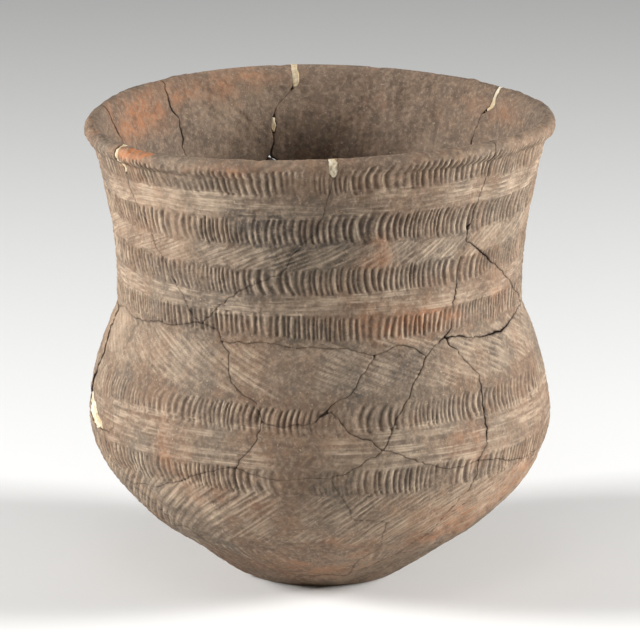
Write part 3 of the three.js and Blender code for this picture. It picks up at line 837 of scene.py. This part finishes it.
# Smooth worn places, as angle, height, half width and half height in mm, and how worn
wornSpots = [
    (-2, 120, 22, 12, 0.95),
    (-8, 138, 18, 8, 0.8),
    (-7, 95, 16, 10, 0.7),
    (2, 79, 26, 9, 0.8),
    (-3, 52, 26, 14, 0.9),
    (11, 24, 40, 9, 0.8),
    (32, 116, 10, 8, 0.6),
    (95, 60, 40, 18, 0.7),
    (-150, 120, 45, 16, 0.7),
    (150, 50, 50, 20, 0.8),
]

# Orange patches of the firing, as angle, height, half width and half height, and strength
orangeSpots = [
    (22, 156, 24, 8, 1.0),
    (36, 156, 16, 7, 0.8),
    (14, 193, 16, 12, 0.8),
    (3, 170, 26, 9, 0.45),
    (61, 158, 14, 16, 0.6),
    (75, 178, 12, 26, 0.5),
    (40, 92, 20, 14, 0.8),
    (43, 45, 30, 18, 0.9),
    (66, 60, 26, 20, 0.7),
    (-17, 241, 30, 5, 0.6),
    (-26, 241, 22, 5, 0.5),
    (-52, 243, 16, 5, 1.2),
    (-39, 92, 16, 18, 0.35),
    (-20, 62, 34, 16, 0.45),
    (6, 38, 40, 14, 0.5),
    (-8, 16, 40, 8, 0.7),
    (-52, 200, 14, 18, 0.35),
    (120, 90, 60, 40, 0.6),
    (-140, 180, 50, 40, 0.5),
    (175, 60, 60, 24, 0.7),
]

# Dark smoke patches, as angle, height, half width and half height, and strength
smokeSpots = [
    (18, 134, 22, 8, 1.0),
    (10, 124, 14, 8, 0.6),
    (25, 142, 16, 4, 1.0),
    (27, 88, 18, 12, 0.5),
    (41, 227, 14, 14, 0.5),
    (-35, 166, 26, 12, 0.7),
    (-60, 146, 20, 14, 0.6),
    (-24, 128, 18, 10, 0.6),
    (-19, 170, 16, 12, 0.5),
    (2, 197, 16, 9, 0.5),
    (-47, 100, 20, 12, 0.45),
    (7, 73, 16, 8, 0.4),
    (100, 150, 60, 30, 0.8),
    (-110, 110, 50, 30, 0.7),
    (160, 130, 60, 30, 0.7),
    (-170, 200, 40, 24, 0.5),
    (-16, 214, 36, 26, 0.85),
    (-22, 190, 28, 16, 0.7),
    (14, 212, 42, 22, 0.8),
    (34, 188, 22, 16, 0.6),
    (-6, 30, 60, 16, 0.45),
    (8, 66, 40, 14, 0.35),
]

# The same for the inner wall
innerOrange = [
    (-110, 236, 22, 12, 1.0),
    (-125, 232, 30, 14, 0.8),
    (-140, 238, 26, 9, 0.7),
    (-160, 240, 40, 7, 0.5),
    (120, 236, 40, 9, 0.6),
]

innerSmoke = [
    (-120, 200, 40, 24, 0.4),
    (170, 180, 60, 40, 0.5),
    (100, 190, 40, 60, 0.7),
    (0, 60, 200, 60, 0.8),
]


def patches(angle, z, spots):
    # sum of soft ellipses: each is a bell over the squared distance in its own half sizes
    total = np.zeros(np.shape(z))
    for spotAngle, height, halfWide, halfTall, strength in spots:
        across = np.radians(turnFrom(angle, spotAngle)) * wallRadius(height) / halfWide
        up = (z - height) / halfTall
        total = total + strength * np.exp(-(across**2 + up**2))
    return total


def engrave(angle, z, station):
    # every band's cuts and raised edges, thinned where the surface is worn
    cutters = {"crescents": crescents, "ruled": ruled, "hatch": hatch}
    wear = patches(angle, z, wornSpots) + surface["wearSwell"] * ripple(angle, station, "wearSwell")
    wear = np.clip(wear + surface["fineWear"] * ripple(angle, station, "fineWear"), 0.0, 1.0)
    keep = 1.0 - surface["mostWear"] * wear
    depth = np.zeros(np.shape(z))
    stroke = np.zeros(np.shape(z))
    line = np.zeros(np.shape(z))
    ridge = np.zeros(np.shape(z))
    for band in bands:
        cut, lifted = cutters[band["kind"]](angle, z, band)
        depth = depth + (cut - ridgeShare * lifted) * band["deep"] * keep
        # the crescents' cuts are also kept as the mask of the painted shade in their strokes
        if band["kind"] == "crescents":
            stroke = np.maximum(stroke, cut * keep * band["deep"])
        else:
            line = np.maximum(line, cut * keep)
        # the raised edges are kept as the mask of the painted highlight on them
        ridge = np.maximum(ridge, lifted * keep)
    return depth, stroke, line, ridge


# Small steps between the mended sherds: how far each stands out, in mm
proud = {
    "shoulder_sherd_left_back": 0.5,
    "shoulder_sherd_far_left": -0.25,
    "neck_sherd_right": -0.25,
    "shoulder_sherd_front": -0.2,
    "plaster_fill_belly": -0.5,
    "plaster_fill_rim_front_left": -0.3,
    "plaster_chip_front_lip": -0.35,
}


# Wear of the lip, in mm: small nicks, and a rough broken stretch at the left
lip = {
    "reach": (9.0, 2.0),  # the wear grows from the first to the second distance below the crown
    "nickFrom": 0.8,  # the unevenness that starts a nick
    "nickDeepest": 2.0,
    "nickShare": 0.35,
    "brokenAngle": -52.0,  # degrees
    "brokenHalf": 5.5,  # degrees
    "brokenDeep": 0.9,
    "brokenRough": 0.5,
    "brokenDeepest": 2.0,
}


def lipWear(angle, station):
    # how far the lip is worn down: what a ripple has over a limit is a nick, and the broken
    # stretch is a bell round the pot, made rough by another ripple
    onLip = smooth(station, crown - lip["reach"][0], crown - lip["reach"][1])
    nick = ripple(angle, 0.0 * station, "lipNicks") - lip["nickFrom"]
    nick = np.clip(nick, 0.0, lip["nickDeepest"]) * lip["nickShare"]
    bell = np.exp(-((turnFrom(angle, lip["brokenAngle"]) / lip["brokenHalf"]) ** 2))
    broken = bell * (lip["brokenDeep"] + lip["brokenRough"] * ripple(angle, station, "lipBreak"))
    return onLip * (nick + np.clip(broken, 0.0, lip["brokenDeepest"]))


def handPoints(angle, station, r, z, out, normal):
    # a place on a profile moved along its normal, worn at the lip and given the pot's hand shape
    worn = lipWear(angle, station)
    return handShape(angle, r + out * normal[0], z - worn + out * normal[1]), worn


def outerSheet(angle, station, name, clear):
    # outside of a piece: swells of the hand, less the engraving and the wear beside the joints
    z = along("outerZ", station)
    out = surface["swell"] * ripple(angle, station, "swell")
    out = out + surface["dimple"] * ripple(angle, station, "dimple")
    out = out + surface["grit"] * ripple(angle, station, "grit")
    out = np.clip(out, surface["deepest"], surface["highest"]) - pot["skin"]
    if name in fillSpots:
        out = out + surface["plasterGrit"] * ripple(angle, station, "plasterGrit")
        stroke, line, ridge = 0.0 * z, 0.0 * z, 0.0 * z
    else:
        depth, stroke, line, ridge = engrave(angle, z, station)
        out = out - depth
    out = out - surface["jointDip"] * np.exp(-np.maximum(clear, 0.0) / surface["jointWear"])
    out = (out + proud.get(name, 0.0)) * smooth(station, 0.0, surface["footFade"])
    normal = along("normalR", station), along("normalZ", station)
    points, worn = handPoints(angle, station, along("outerR", station), z, out, normal)
    return points, {
        "stroke": stroke,
        "line": line,
        "ridge": ridge,
        "inside": 0.0 * z,
        "orange": patches(angle, z, orangeSpots),
        "smoke": patches(angle, z, smokeSpots),
        "worn": worn,
    }


def innerSheet(angle, station):
    # inside of a piece: swells that fade out towards the lip
    z = along("innerZ", station)
    out = surface["innerSwell"] * ripple(angle, station, "innerSwell")
    out = out + surface["innerDimple"] * ripple(angle, station, "innerDimple")
    fade = 1.0 - smooth(station, crown - surface["innerFade"][0], crown - surface["innerFade"][1])
    out = np.clip(out, surface["deepest"], surface["innerHighest"]) * fade
    normal = along("backR", station), along("backZ", station)
    points, worn = handPoints(angle, station, along("innerR", station), z, out, normal)
    return points, {
        "stroke": 0.0 * z,
        "line": 0.0 * z,
        "ridge": 0.0 * z,
        "inside": 1.0 + 0.0 * z,
        "orange": patches(angle, z, innerOrange),
        "smoke": patches(angle, z, innerSmoke),
        "worn": worn,
    }


def splitFaces(quads):
    # a quad with two corners in one place becomes a triangle, and a flat triangle is left out
    quads = quads.reshape(-1, 4)
    parts = []
    whole = np.ones(len(quads), bool)
    for side in range(4):
        same = (quads[:, side] == quads[:, (side + 1) % 4]) & whole
        whole &= ~same
        parts.append(np.delete(quads[same], side, axis=1))
    triangles = np.concatenate(parts)
    flat = (triangles[:, 0] == triangles[:, 1]) | (triangles[:, 1] == triangles[:, 2])
    flat |= triangles[:, 2] == triangles[:, 0]
    return quads[whole], triangles[~flat]


def meshObject(name, points, sheets, walls, values):
    # vertices in metres, smooth sheets and flat break faces, and the named values on the points
    mesh = bpy.data.meshes.new(name)
    sheetFaces = splitFaces(sheets)
    faces = [*sheetFaces, *splitFaces(walls)]
    corners = np.concatenate([part.ravel() for part in faces])
    totals = np.concatenate([np.full(len(part), part.shape[1]) for part in faces])
    isSmooth = np.arange(len(totals)) < sum(len(part) for part in sheetFaces)
    mesh.vertices.add(len(points))
    mesh.vertices.foreach_set("co", (points * mm).astype(np.float32).ravel())
    mesh.loops.add(len(corners))
    mesh.loops.foreach_set("vertex_index", corners.astype(np.int32))
    mesh.polygons.add(len(totals))
    starts = np.concatenate([[0], np.cumsum(totals)[:-1]])
    mesh.polygons.foreach_set("loop_start", starts.astype(np.int32))
    mesh.update(calc_edges=True)
    mesh.polygons.foreach_set("use_smooth", isSmooth)
    for label, value in values.items():
        layer = mesh.attributes.new(label, "FLOAT", "POINT")
        layer.data.foreach_set("value", np.asarray(value, np.float32))
    mesh.validate()
    piece = bpy.data.objects.new(name, mesh)
    bpy.context.scene.collection.objects.link(piece)
    return piece


class Grid:
    # a grid round the pot, with the joints' distances at its corners and a piece for each cell.
    # Disc is each row's share of the way out from the middle of the foot, on the base's grid alone
    def __init__(self, angles, stations, disc, names, spots):
        self.angles = angles
        self.stations = stations
        self.disc = disc
        self.names = names
        self.turns = np.diff(np.append(angles, angles[0] + 360.0))
        middleAngles = angles + self.turns / 2
        middleStations = (stations[:-1] + stations[1:]) / 2
        self.corner = nearestJoint(angles, stations)
        self.centre = nearestJoint(middleAngles, middleStations)
        self.label = labelCells(middleAngles, middleStations, self.centre, names, spots)


def tidyCells(kept):
    # cells that hang on by one side are left out, twice over
    for again in range(2):
        near = np.roll(kept, 1, 0).astype(int) + np.roll(kept, -1, 0)
        near[:, 1:] += kept[:, :-1]
        near[:, :-1] += kept[:, 1:]
        near[:, 0] += kept[:, 0]
        near[:, -1] += kept[:, -1]
        kept = kept & (near >= 2)
    return kept


def cornerCells(kept):
    # for each corner whether the cells below left, below right, above right and above left are
    # kept; the lowest and highest rows count as going on past the grid
    capped = np.concatenate([kept[:, :1], kept, kept[:, -1:]], axis=1)
    before = np.roll(capped, 1, 0)
    return np.stack([before[:, :-1], capped[:, :-1], capped[:, 1:], before[:, 1:]])


def drawnCorners(grid, cells):
    # angle, station and way to the joint of every corner. A corner on the sherd's border is moved on
    # to the joint, and back by half the gap towards the middle of the kept cells round it
    touching = cells.sum(0)
    radii = along("outerR", grid.stations)[None, :]
    widths = np.radians(grid.turns)[:, None] * radii
    heights = np.diff(grid.stations)
    after, before = widths / 2, np.roll(widths, 1, 0) / 2
    above = np.append(heights, heights[-1])[None, :] / 2
    below = np.append(heights[0], heights)[None, :] / 2
    lowLeft, lowRight, highRight, highLeft = cells.astype(float)
    middleAcross = after * (lowRight + highRight) - before * (lowLeft + highLeft)
    middleUp = above * (highRight + highLeft) - below * (lowLeft + lowRight)
    toAcross, toUp, gap = grid.corner["toAcross"], grid.corner["toUp"], grid.corner["gap"]
    inAcross = middleAcross / np.maximum(touching, 1) - toAcross
    inUp = middleUp / np.maximum(touching, 1) - toUp
    size = np.maximum(np.hypot(inAcross, inUp), 1e-6)
    border = (touching > 0) & (touching < 4)
    drawn = border & (np.hypot(toAcross, toUp) < joint["drawReach"] + gap / 2)
    moveAcross = np.where(drawn, toAcross + inAcross / size * gap / 2, 0.0)
    moveUp = np.where(drawn, toUp + inUp / size * gap / 2, 0.0)
    angle = grid.angles[:, None] + np.degrees(moveAcross / radii)
    station = np.minimum(grid.stations[None, :] + moveUp, crown)
    return angle, station, np.where(drawn, 0.0, grid.corner["clear"])


def sherdFaces(kept, outerId, innerId):
    # four corners a face: both sheets over the kept cells, and a break wall between the sheets on
    # each side of a cell that has no kept cell beyond it
    columns = len(kept)
    i, j = np.nonzero(kept)
    k = (i + 1) % columns
    outer = np.stack([outerId[i, j], outerId[k, j], outerId[k, j + 1], outerId[i, j + 1]], -1)
    inner = np.stack([innerId[i, j + 1], innerId[k, j + 1], innerId[k, j], innerId[i, j]], -1)
    cellBelow = np.concatenate([kept[:, :1], kept[:, :-1]], axis=1)
    cellAbove = np.concatenate([kept[:, 1:], kept[:, -1:]], axis=1)
    sides = [
        (kept & ~cellBelow, (0, 0), (1, 0)),
        (kept & ~np.roll(kept, -1, 0), (1, 0), (1, 1)),
        (kept & ~cellAbove, (1, 1), (0, 1)),
        (kept & ~np.roll(kept, 1, 0), (0, 1), (0, 0)),
    ]
    walls = []
    for bare, start, end in sides:
        i, j = np.nonzero(bare)
        first = (i + start[0]) % columns, j + start[1]
        second = (i + end[0]) % columns, j + end[1]
        walls.append(np.stack([outerId[second], outerId[first], innerId[first], innerId[second]], -1))
    return np.concatenate([outer, inner]), np.concatenate(walls)


def closeDisc(outside, inside, angle, share):
    # the rows below the foot's edge shrink to the middle: flat under the foot, and on the floor
    # inside with a slight unevenness
    onDisc = share < 1.0
    outside[onDisc] = outside[onDisc] * share[onDisc, None]
    rise = surface["floorSwell"] * ripple(angle, share * surface["floorRadius"], "floorSwell") * share
    inside[onDisc, :2] *= share[onDisc, None]
    inside[onDisc, 2] = pot["floor"] + rise[onDisc] * (1.0 - share[onDisc])


def sherdFrom(grid, name):
    # closed shell of one piece: its cells' two sheets, joined at the lip's crown and by break walls
    number = grid.names.index(name) + 1
    kept = tidyCells((grid.label == number) & (grid.centre["clear"] > 0.0))
    cells = cornerCells(kept)
    used = cells.any(0)
    angle, station, clear = drawnCorners(grid, cells)
    onCrown = np.zeros(used.shape, bool)
    onCrown[:, -1] = abs(grid.stations[-1] - crown) < 1e-6
    station = np.where(onCrown, crown, station)
    count = np.count_nonzero(used)
    outerId = np.full(used.shape, -1)
    outerId[used] = np.arange(count)
    innerId = np.where(onCrown, outerId, outerId + count)

    angle, clear = angle[used], clear[used]
    station = np.maximum(station[used], 0.0)
    outside, outerValues = outerSheet(angle, station, name, clear)
    inside, innerValues = innerSheet(angle, station)
    if grid.disc is not None:
        closeDisc(outside, inside, angle, np.broadcast_to(grid.disc, used.shape)[used])
        outerId[:, 0] = outerId[0, 0]
        innerId[:, 0] = innerId[0, 0]
    sheets, walls = sherdFaces(kept, outerId, innerId)

    # painted shade in the joints: dark next to a joint, darker at open cracks, fading with the distance
    # from it
    openness = smooth(grid.corner["gap"][used], joint["gap"], joint["openCrack"])
    tone = joint["closedTone"] + (1.0 - joint["closedTone"]) * openness
    dark = np.exp(-np.maximum(clear, 0.0) / joint["stainAndShade"]) * tone
    outerValues["joint"] = innerValues["joint"] = dark
    points = np.concatenate([outside, inside])
    held = np.unique(np.concatenate([sheets.ravel(), walls.ravel()]))
    place = np.full(len(points), -1)
    place[held] = np.arange(len(held))
    values = {
        label: np.concatenate([outerValues[label], innerValues[label]])[held] for label in outerValues
    }
    return meshObject(name, points[held], place[sheets], place[walls], values)


# Materials: the colours, and how strongly each layer covers those under it
clayLook = {
    "brown": (0.205, 0.128, 0.082),
    "grey": (0.170, 0.128, 0.093),
    "pale": (0.38, 0.275, 0.188),
    "orange": (0.45, 0.19, 0.085),
    "smoke": (0.075, 0.062, 0.052),
    # dark colour of the painted shade in the crescent strokes and in the joints
    "paintedShade": (0.055, 0.036, 0.026),
    # pale of the sand specks and of the dust in the lines, and the colour of the painted highlight on the
    # raised edges
    "sedimentAndHighlight": (0.58, 0.45, 0.325),
    "insideTone": (0.20, 0.142, 0.102),
    "insideShare": 0.7,
    "broadShare": 0.55,
    "strayOrange": 0.4,  # patches of the firing that lie anywhere, beside the placed ones
    "orangeShare": 0.62,
    "straySmoke": 0.5,
    "smokeShare": 0.72,
    "smokeFull": 1.1,
    "mottleShare": 0.42,
    "fineShare": 0.5,
    "speckShare": 0.6,
    # how strongly the painted shade covers the crescent strokes
    "strokeShare": 0.75,
    "dustShare": 0.75,
    "wornRange": (0.25, 1.1),  # mm of wear at the lip where fresh clay starts to show, and is all
    "coarseGrain": 1.2,
    "roughness": 0.86,
    "specular": 0.28,
    "bump": 0.5,
    "bumpHeight": 0.0007,  # metres
}

# Noise of each layer: size, detail and roughness, the values that turn into 0 and 1, and in the
# longer ones what they turn into instead
clayNoise = {
    "cloud": (22.0, 5.0, 0.6, 0.38, 0.62),
    "broad": (9.0, 4.0, 0.55, 0.5, 0.72),
    "orangeEdge": (60.0, 6.0, 0.65, 0.3, 0.7, 0.35, 1.25),
    "orangeStray": (17.0, 5.0, 0.62, 0.56, 0.7),
    "smokeEdge": (45.0, 6.0, 0.65, 0.3, 0.7, 0.5, 1.3),
    "smokeStray": (14.0, 5.0, 0.6, 0.58, 0.74),
    "mottle": (130.0, 6.0, 0.7, 0.42, 0.6),
    "fine": (420.0, 5.0, 0.7, 0.44, 0.66),
    "specks": (900.0, 2.0, 0.5, 0.68, 0.74),
    "dust": (70.0, 4.0, 0.6, 0.36, 0.62),
    # noise of the painted highlight on the raised edges
    "ridgeHighlight": (90.0, 4.0, 0.6, 0.4, 0.65, 0.15, 0.8),
    # noise that breaks up the painted shade in the joints
    "fadingJoint": (38.0, 3.0, 0.6, 0.36, 0.6, 0.35, 1.0),
    "fineGrain": (650.0, 5.0, 0.65),
    "coarseGrain": (240.0, 3.0, 0.6),
}

plasterLook = {
    "cream": (0.60, 0.47, 0.29),
    "white": (0.80, 0.72, 0.56),
    # brown of the stains, also the colour of the painted shade along the joints
    "stainAndShade": (0.40, 0.29, 0.18),
    "jointShare": 0.5,
    "roughness": 0.92,
    "specular": 0.2,
    "bump": 0.6,
    "bumpHeight": 0.0008,
}

plasterNoise = {
    "cloud": (130.0, 5.0, 0.6, 0.4, 0.62),
    "stainAndShade": (240.0, 5.0, 0.6, 0.5, 0.66, 0.0, 0.75),
    "fineGrain": (700.0, 5.0, 0.7),
    "coarseGrain": (300.0, 3.0, 0.6),
}


class Nodes:
    # short hands for a material's node tree
    def __init__(self, name):
        self.material = bpy.data.materials.new(name)
        self.material.use_nodes = True
        self.tree = self.material.node_tree
        self.shader = self.tree.nodes["Principled BSDF"]
        self.place = self.tree.nodes.new("ShaderNodeTexCoord").outputs["Object"]

    def noise(self, scale, detail, rough):
        node = self.tree.nodes.new("ShaderNodeTexNoise")
        node.inputs["Scale"].default_value = scale
        node.inputs["Detail"].default_value = detail
        node.inputs["Roughness"].default_value = rough
        self.tree.links.new(self.place, node.inputs["Vector"])
        return node.outputs["Fac"]

    def attribute(self, name):
        node = self.tree.nodes.new("ShaderNodeAttribute")
        node.attribute_name = name
        return node.outputs["Fac"]

    def ramp(self, value, low, high, toLow=0.0, toHigh=1.0):
        node = self.tree.nodes.new("ShaderNodeMapRange")
        node.interpolation_type = "SMOOTHSTEP"
        node.inputs["From Min"].default_value = low
        node.inputs["From Max"].default_value = high
        node.inputs["To Min"].default_value = toLow
        node.inputs["To Max"].default_value = toHigh
        self.tree.links.new(value, node.inputs["Value"])
        return node.outputs["Result"]

    def pattern(self, scale, detail, rough, *ends):
        # noise with its contrast raised
        return self.ramp(self.noise(scale, detail, rough), *ends)

    def maths(self, kind, a, b):
        node = self.tree.nodes.new("ShaderNodeMath")
        node.operation = kind
        for socket, value in zip(node.inputs, (a, b)):
            if isinstance(value, (int, float)):
                socket.default_value = value
            else:
                self.tree.links.new(value, socket)
        return node.outputs[0]

    def times(self, a, b):
        return self.maths("MULTIPLY", a, b)

    def plus(self, a, b):
        return self.maths("ADD", a, b)

    def mix(self, share, under, over):
        node = self.tree.nodes.new("ShaderNodeMix")
        node.data_type = "RGBA"
        for key, value in (("Factor_Float", share), ("A_Color", under), ("B_Color", over)):
            socket = next(s for s in node.inputs if s.identifier == key)
            if isinstance(value, tuple):
                socket.default_value = (*value, 1.0)
            elif isinstance(value, (int, float)):
                socket.default_value = value
            else:
                self.tree.links.new(value, socket)
        return next(s for s in node.outputs if s.identifier == "Result_Color")

    def finish(self, colour, look, height):
        bump = self.tree.nodes.new("ShaderNodeBump")
        bump.inputs["Strength"].default_value = look["bump"]
        bump.inputs["Distance"].default_value = look["bumpHeight"]
        self.tree.links.new(height, bump.inputs["Height"])
        self.tree.links.new(bump.outputs["Normal"], self.shader.inputs["Normal"])
        self.tree.links.new(colour, self.shader.inputs["Base Color"])
        self.shader.inputs["Roughness"].default_value = look["roughness"]
        self.shader.inputs["Specular IOR Level"].default_value = look["specular"]
        return self.material


def clayMaterial():
    # fired clay: brown and grey clouds, orange and smoked patches, sand specks, painted shade in the
    # crescent strokes, pale dust in the ruled lines, a painted highlight on the raised edges and painted
    # shade in the joints
    n = Nodes("fired_clay")
    look = clayLook
    layer = clayNoise
    colour = n.mix(n.pattern(*layer["cloud"]), look["brown"], look["grey"])
    colour = n.mix(n.times(n.attribute("inside"), look["insideShare"]), colour, look["insideTone"])
    colour = n.mix(n.times(n.pattern(*layer["broad"]), look["broadShare"]), colour, look["pale"])

    orange = n.times(n.attribute("orange"), n.pattern(*layer["orangeEdge"]))
    stray = n.times(n.pattern(*layer["orangeStray"]), look["strayOrange"])
    orange = n.times(n.plus(orange, stray), look["orangeShare"])
    colour = n.mix(n.ramp(orange, 0.0, 1.0), colour, look["orange"])
    smoke = n.times(n.attribute("smoke"), n.pattern(*layer["smokeEdge"]))
    stray = n.times(n.pattern(*layer["smokeStray"]), look["straySmoke"])
    smoke = n.times(n.plus(smoke, stray), look["smokeShare"])
    colour = n.mix(n.ramp(smoke, 0.0, look["smokeFull"]), colour, look["smoke"])

    colour = n.mix(n.times(n.pattern(*layer["mottle"]), look["mottleShare"]), colour, look["smoke"])
    colour = n.mix(n.times(n.pattern(*layer["fine"]), look["fineShare"]), colour, look["pale"])
    colour = n.mix(n.times(n.pattern(*layer["specks"]), look["speckShare"]), colour, look["sedimentAndHighlight"])
    # painted shade in the crescent strokes
    colour = n.mix(n.times(n.attribute("stroke"), look["strokeShare"]), colour, look["paintedShade"])
    dust = n.times(n.pattern(*layer["dust"]), look["dustShare"])
    colour = n.mix(n.times(n.attribute("line"), dust), colour, look["sedimentAndHighlight"])
    # painted highlight on the raised edges beside the cuts
    ridgeHighlight = n.times(n.attribute("ridge"), n.pattern(*layer["ridgeHighlight"]))
    colour = n.mix(ridgeHighlight, colour, look["sedimentAndHighlight"])
    # painted shade in the joints, broken up by noise
    dark = n.times(n.attribute("joint"), n.pattern(*layer["fadingJoint"]))
    colour = n.mix(dark, colour, look["paintedShade"])
    colour = n.mix(n.ramp(n.attribute("worn"), *look["wornRange"]), colour, look["orange"])
    coarse = n.times(n.noise(*layer["coarseGrain"]), look["coarseGrain"])
    return n.finish(colour, look, n.plus(n.noise(*layer["fineGrain"]), coarse))


def plasterMaterial():
    # filler plaster: cream to white, stained brown in places, chalky and pitted, with painted shade along
    # its joints
    n = Nodes("plaster")
    look = plasterLook
    layer = plasterNoise
    colour = n.mix(n.pattern(*layer["cloud"]), look["cream"], look["white"])
    colour = n.mix(n.pattern(*layer["stainAndShade"]), colour, look["stainAndShade"])
    # painted shade along the plaster's joints
    colour = n.mix(n.times(n.attribute("joint"), look["jointShare"]), colour, look["stainAndShade"])
    grain = n.plus(n.noise(*layer["fineGrain"]), n.noise(*layer["coarseGrain"]))
    return n.finish(colour, look, grain)


materials = {"fired_clay": clayMaterial(), "plaster": plasterMaterial()}
print("materials mixed")


# Pieces
gridSet = {
    "frontStep": 0.3,  # degrees between columns where the photograph looks
    "backStep": 0.42,
    "frontHalf": 96.0,
    "rowStep": 0.66,  # mm
    "lowest": 0.09,  # level where the grid of the wall's sherds starts, below their lowest break
    "baseColumns": 560,
    "baseTop": 0.58,  # level where the base sherd's grid ends, above its highest break
    "baseRowStep": 0.8,
    "discRows": 20,
}


def bodyGrid(names, spots):
    # fine columns at the front and wider ones behind, from the lowest sherds up to the crown
    half = gridSet["frontHalf"]
    front = np.arange(-half, half, gridSet["frontStep"])
    backCount = int(round((360.0 - 2 * half) / gridSet["backStep"]))
    back = np.linspace(half, 360.0 - half, backCount, endpoint=False)
    low = float(stationOf(gridSet["lowest"]))
    rows = int(round((crown - low) / gridSet["rowStep"]))
    return Grid(np.concatenate([front, back]), np.linspace(low, crown, rows + 1), None, names, spots)


def baseGrid(names, spots):
    # even columns all round, with rows across the foot from its middle before those up the wall
    top = float(stationOf(gridSet["baseTop"]))
    rows = int(round(top / gridSet["baseRowStep"]))
    share = np.linspace(0.0, 1.0, gridSet["discRows"], endpoint=False)
    stations = np.concatenate([(share - 1.0) * pot["footRadius"], np.linspace(0.0, top, rows + 1)])
    disc = np.concatenate([share, np.ones(rows + 1)])
    angles = np.linspace(-180.0, 180.0, gridSet["baseColumns"], endpoint=False)
    return Grid(angles, stations, disc, names, spots)


def makePieces():
    spots = {**sherdSpots, **fillSpots}
    names = list(spots)
    body = bodyGrid(names, spots)
    print("body grid of", body.label.shape[0], "by", body.label.shape[1], "cells")
    base = baseGrid(names, spots)
    print("base grid of", base.label.shape[0], "by", base.label.shape[1], "cells")
    pieces = []
    for name in names:
        piece = sherdFrom(base if name == "base_sherd" else body, name)
        slot = "plaster" if name in fillSpots else "fired_clay"
        piece.data.materials.append(materials[slot])
        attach(piece, "root")
        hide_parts(name)
        pieces.append(piece)
    return pieces


def renamed(pieces):
    # a CAD node holds its own name, so each dressed piece adds a word to it
    for piece in pieces:
        piece.name = "dressed_" + piece.data.name.split(".")[0]


pieces = makePieces()
renamed(pieces)
print("pieces made:", len(pieces), "with", sum(len(p.data.polygons) for p in pieces), "faces")


# Studio: a pale floor, two soft lamps at the sides and a weak one above the front, in metres
studio = {
    "floorColour": (0.80, 0.80, 0.79),
    "floorRoughness": 0.9,
    "floorHalf": 6.0,
    "worldColour": (0.86, 0.86, 0.86),
    "worldLight": 0.13,
    "aimHeight": 0.12,
    "key": {"place": (-1.9, -0.3, 0.95), "size": 0.6, "power": 62.0},
    "fill": {"place": (1.9, -0.2, 0.85), "size": 0.6, "power": 60.0},
    "edge": {"place": (-0.2, -1.3, 2.2), "size": 0.9, "power": 4.0},
}


def makeFloor():
    half = studio["floorHalf"]
    mesh = bpy.data.meshes.new("floor")
    corners = [(-half, -half, 0), (half, -half, 0), (half, half, 0), (-half, half, 0)]
    mesh.from_pydata(corners, [], [(0, 1, 2, 3)])
    floor = bpy.data.objects.new("floor", mesh)
    bpy.context.scene.collection.objects.link(floor)
    material = bpy.data.materials.new("floor_paper")
    material.use_nodes = True
    shader = material.node_tree.nodes["Principled BSDF"]
    shader.inputs["Base Color"].default_value = (*studio["floorColour"], 1.0)
    shader.inputs["Roughness"].default_value = studio["floorRoughness"]
    mesh.materials.append(material)


def makeWorld():
    # the camera sees the full backdrop, and it lights the pot only a little
    world = bpy.data.worlds.new("studio")
    bpy.context.scene.world = world
    world.use_nodes = True
    tree = world.node_tree
    back = tree.nodes["Background"]
    back.inputs["Color"].default_value = (*studio["worldColour"], 1.0)
    seen = tree.nodes.new("ShaderNodeLightPath")
    strength = tree.nodes.new("ShaderNodeMapRange")
    strength.inputs["To Min"].default_value = studio["worldLight"]
    strength.inputs["To Max"].default_value = 1.0
    tree.links.new(seen.outputs["Is Camera Ray"], strength.inputs["Value"])
    tree.links.new(strength.outputs["Result"], back.inputs["Strength"])


def makeLight(name):
    # a square lamp turned so that it shines on the middle of the pot
    look = studio[name]
    data = bpy.data.lights.new(name, "AREA")
    data.shape = "SQUARE"
    data.size = look["size"]
    data.energy = look["power"]
    light = bpy.data.objects.new(name, data)
    light.location = look["place"]
    aim = np.array([0.0, 0.0, studio["aimHeight"]]) - np.array(look["place"])
    tilt = math.atan2(math.hypot(aim[0], aim[1]), -aim[2])
    light.rotation_euler = (tilt, 0.0, math.atan2(-aim[0], aim[1]))
    bpy.context.scene.collection.objects.link(light)


makeFloor()
makeWorld()
for lamp in ("key", "fill", "edge"):
    makeLight(lamp)
bpy.context.scene.view_settings.view_transform = "Standard"
print("studio lit")
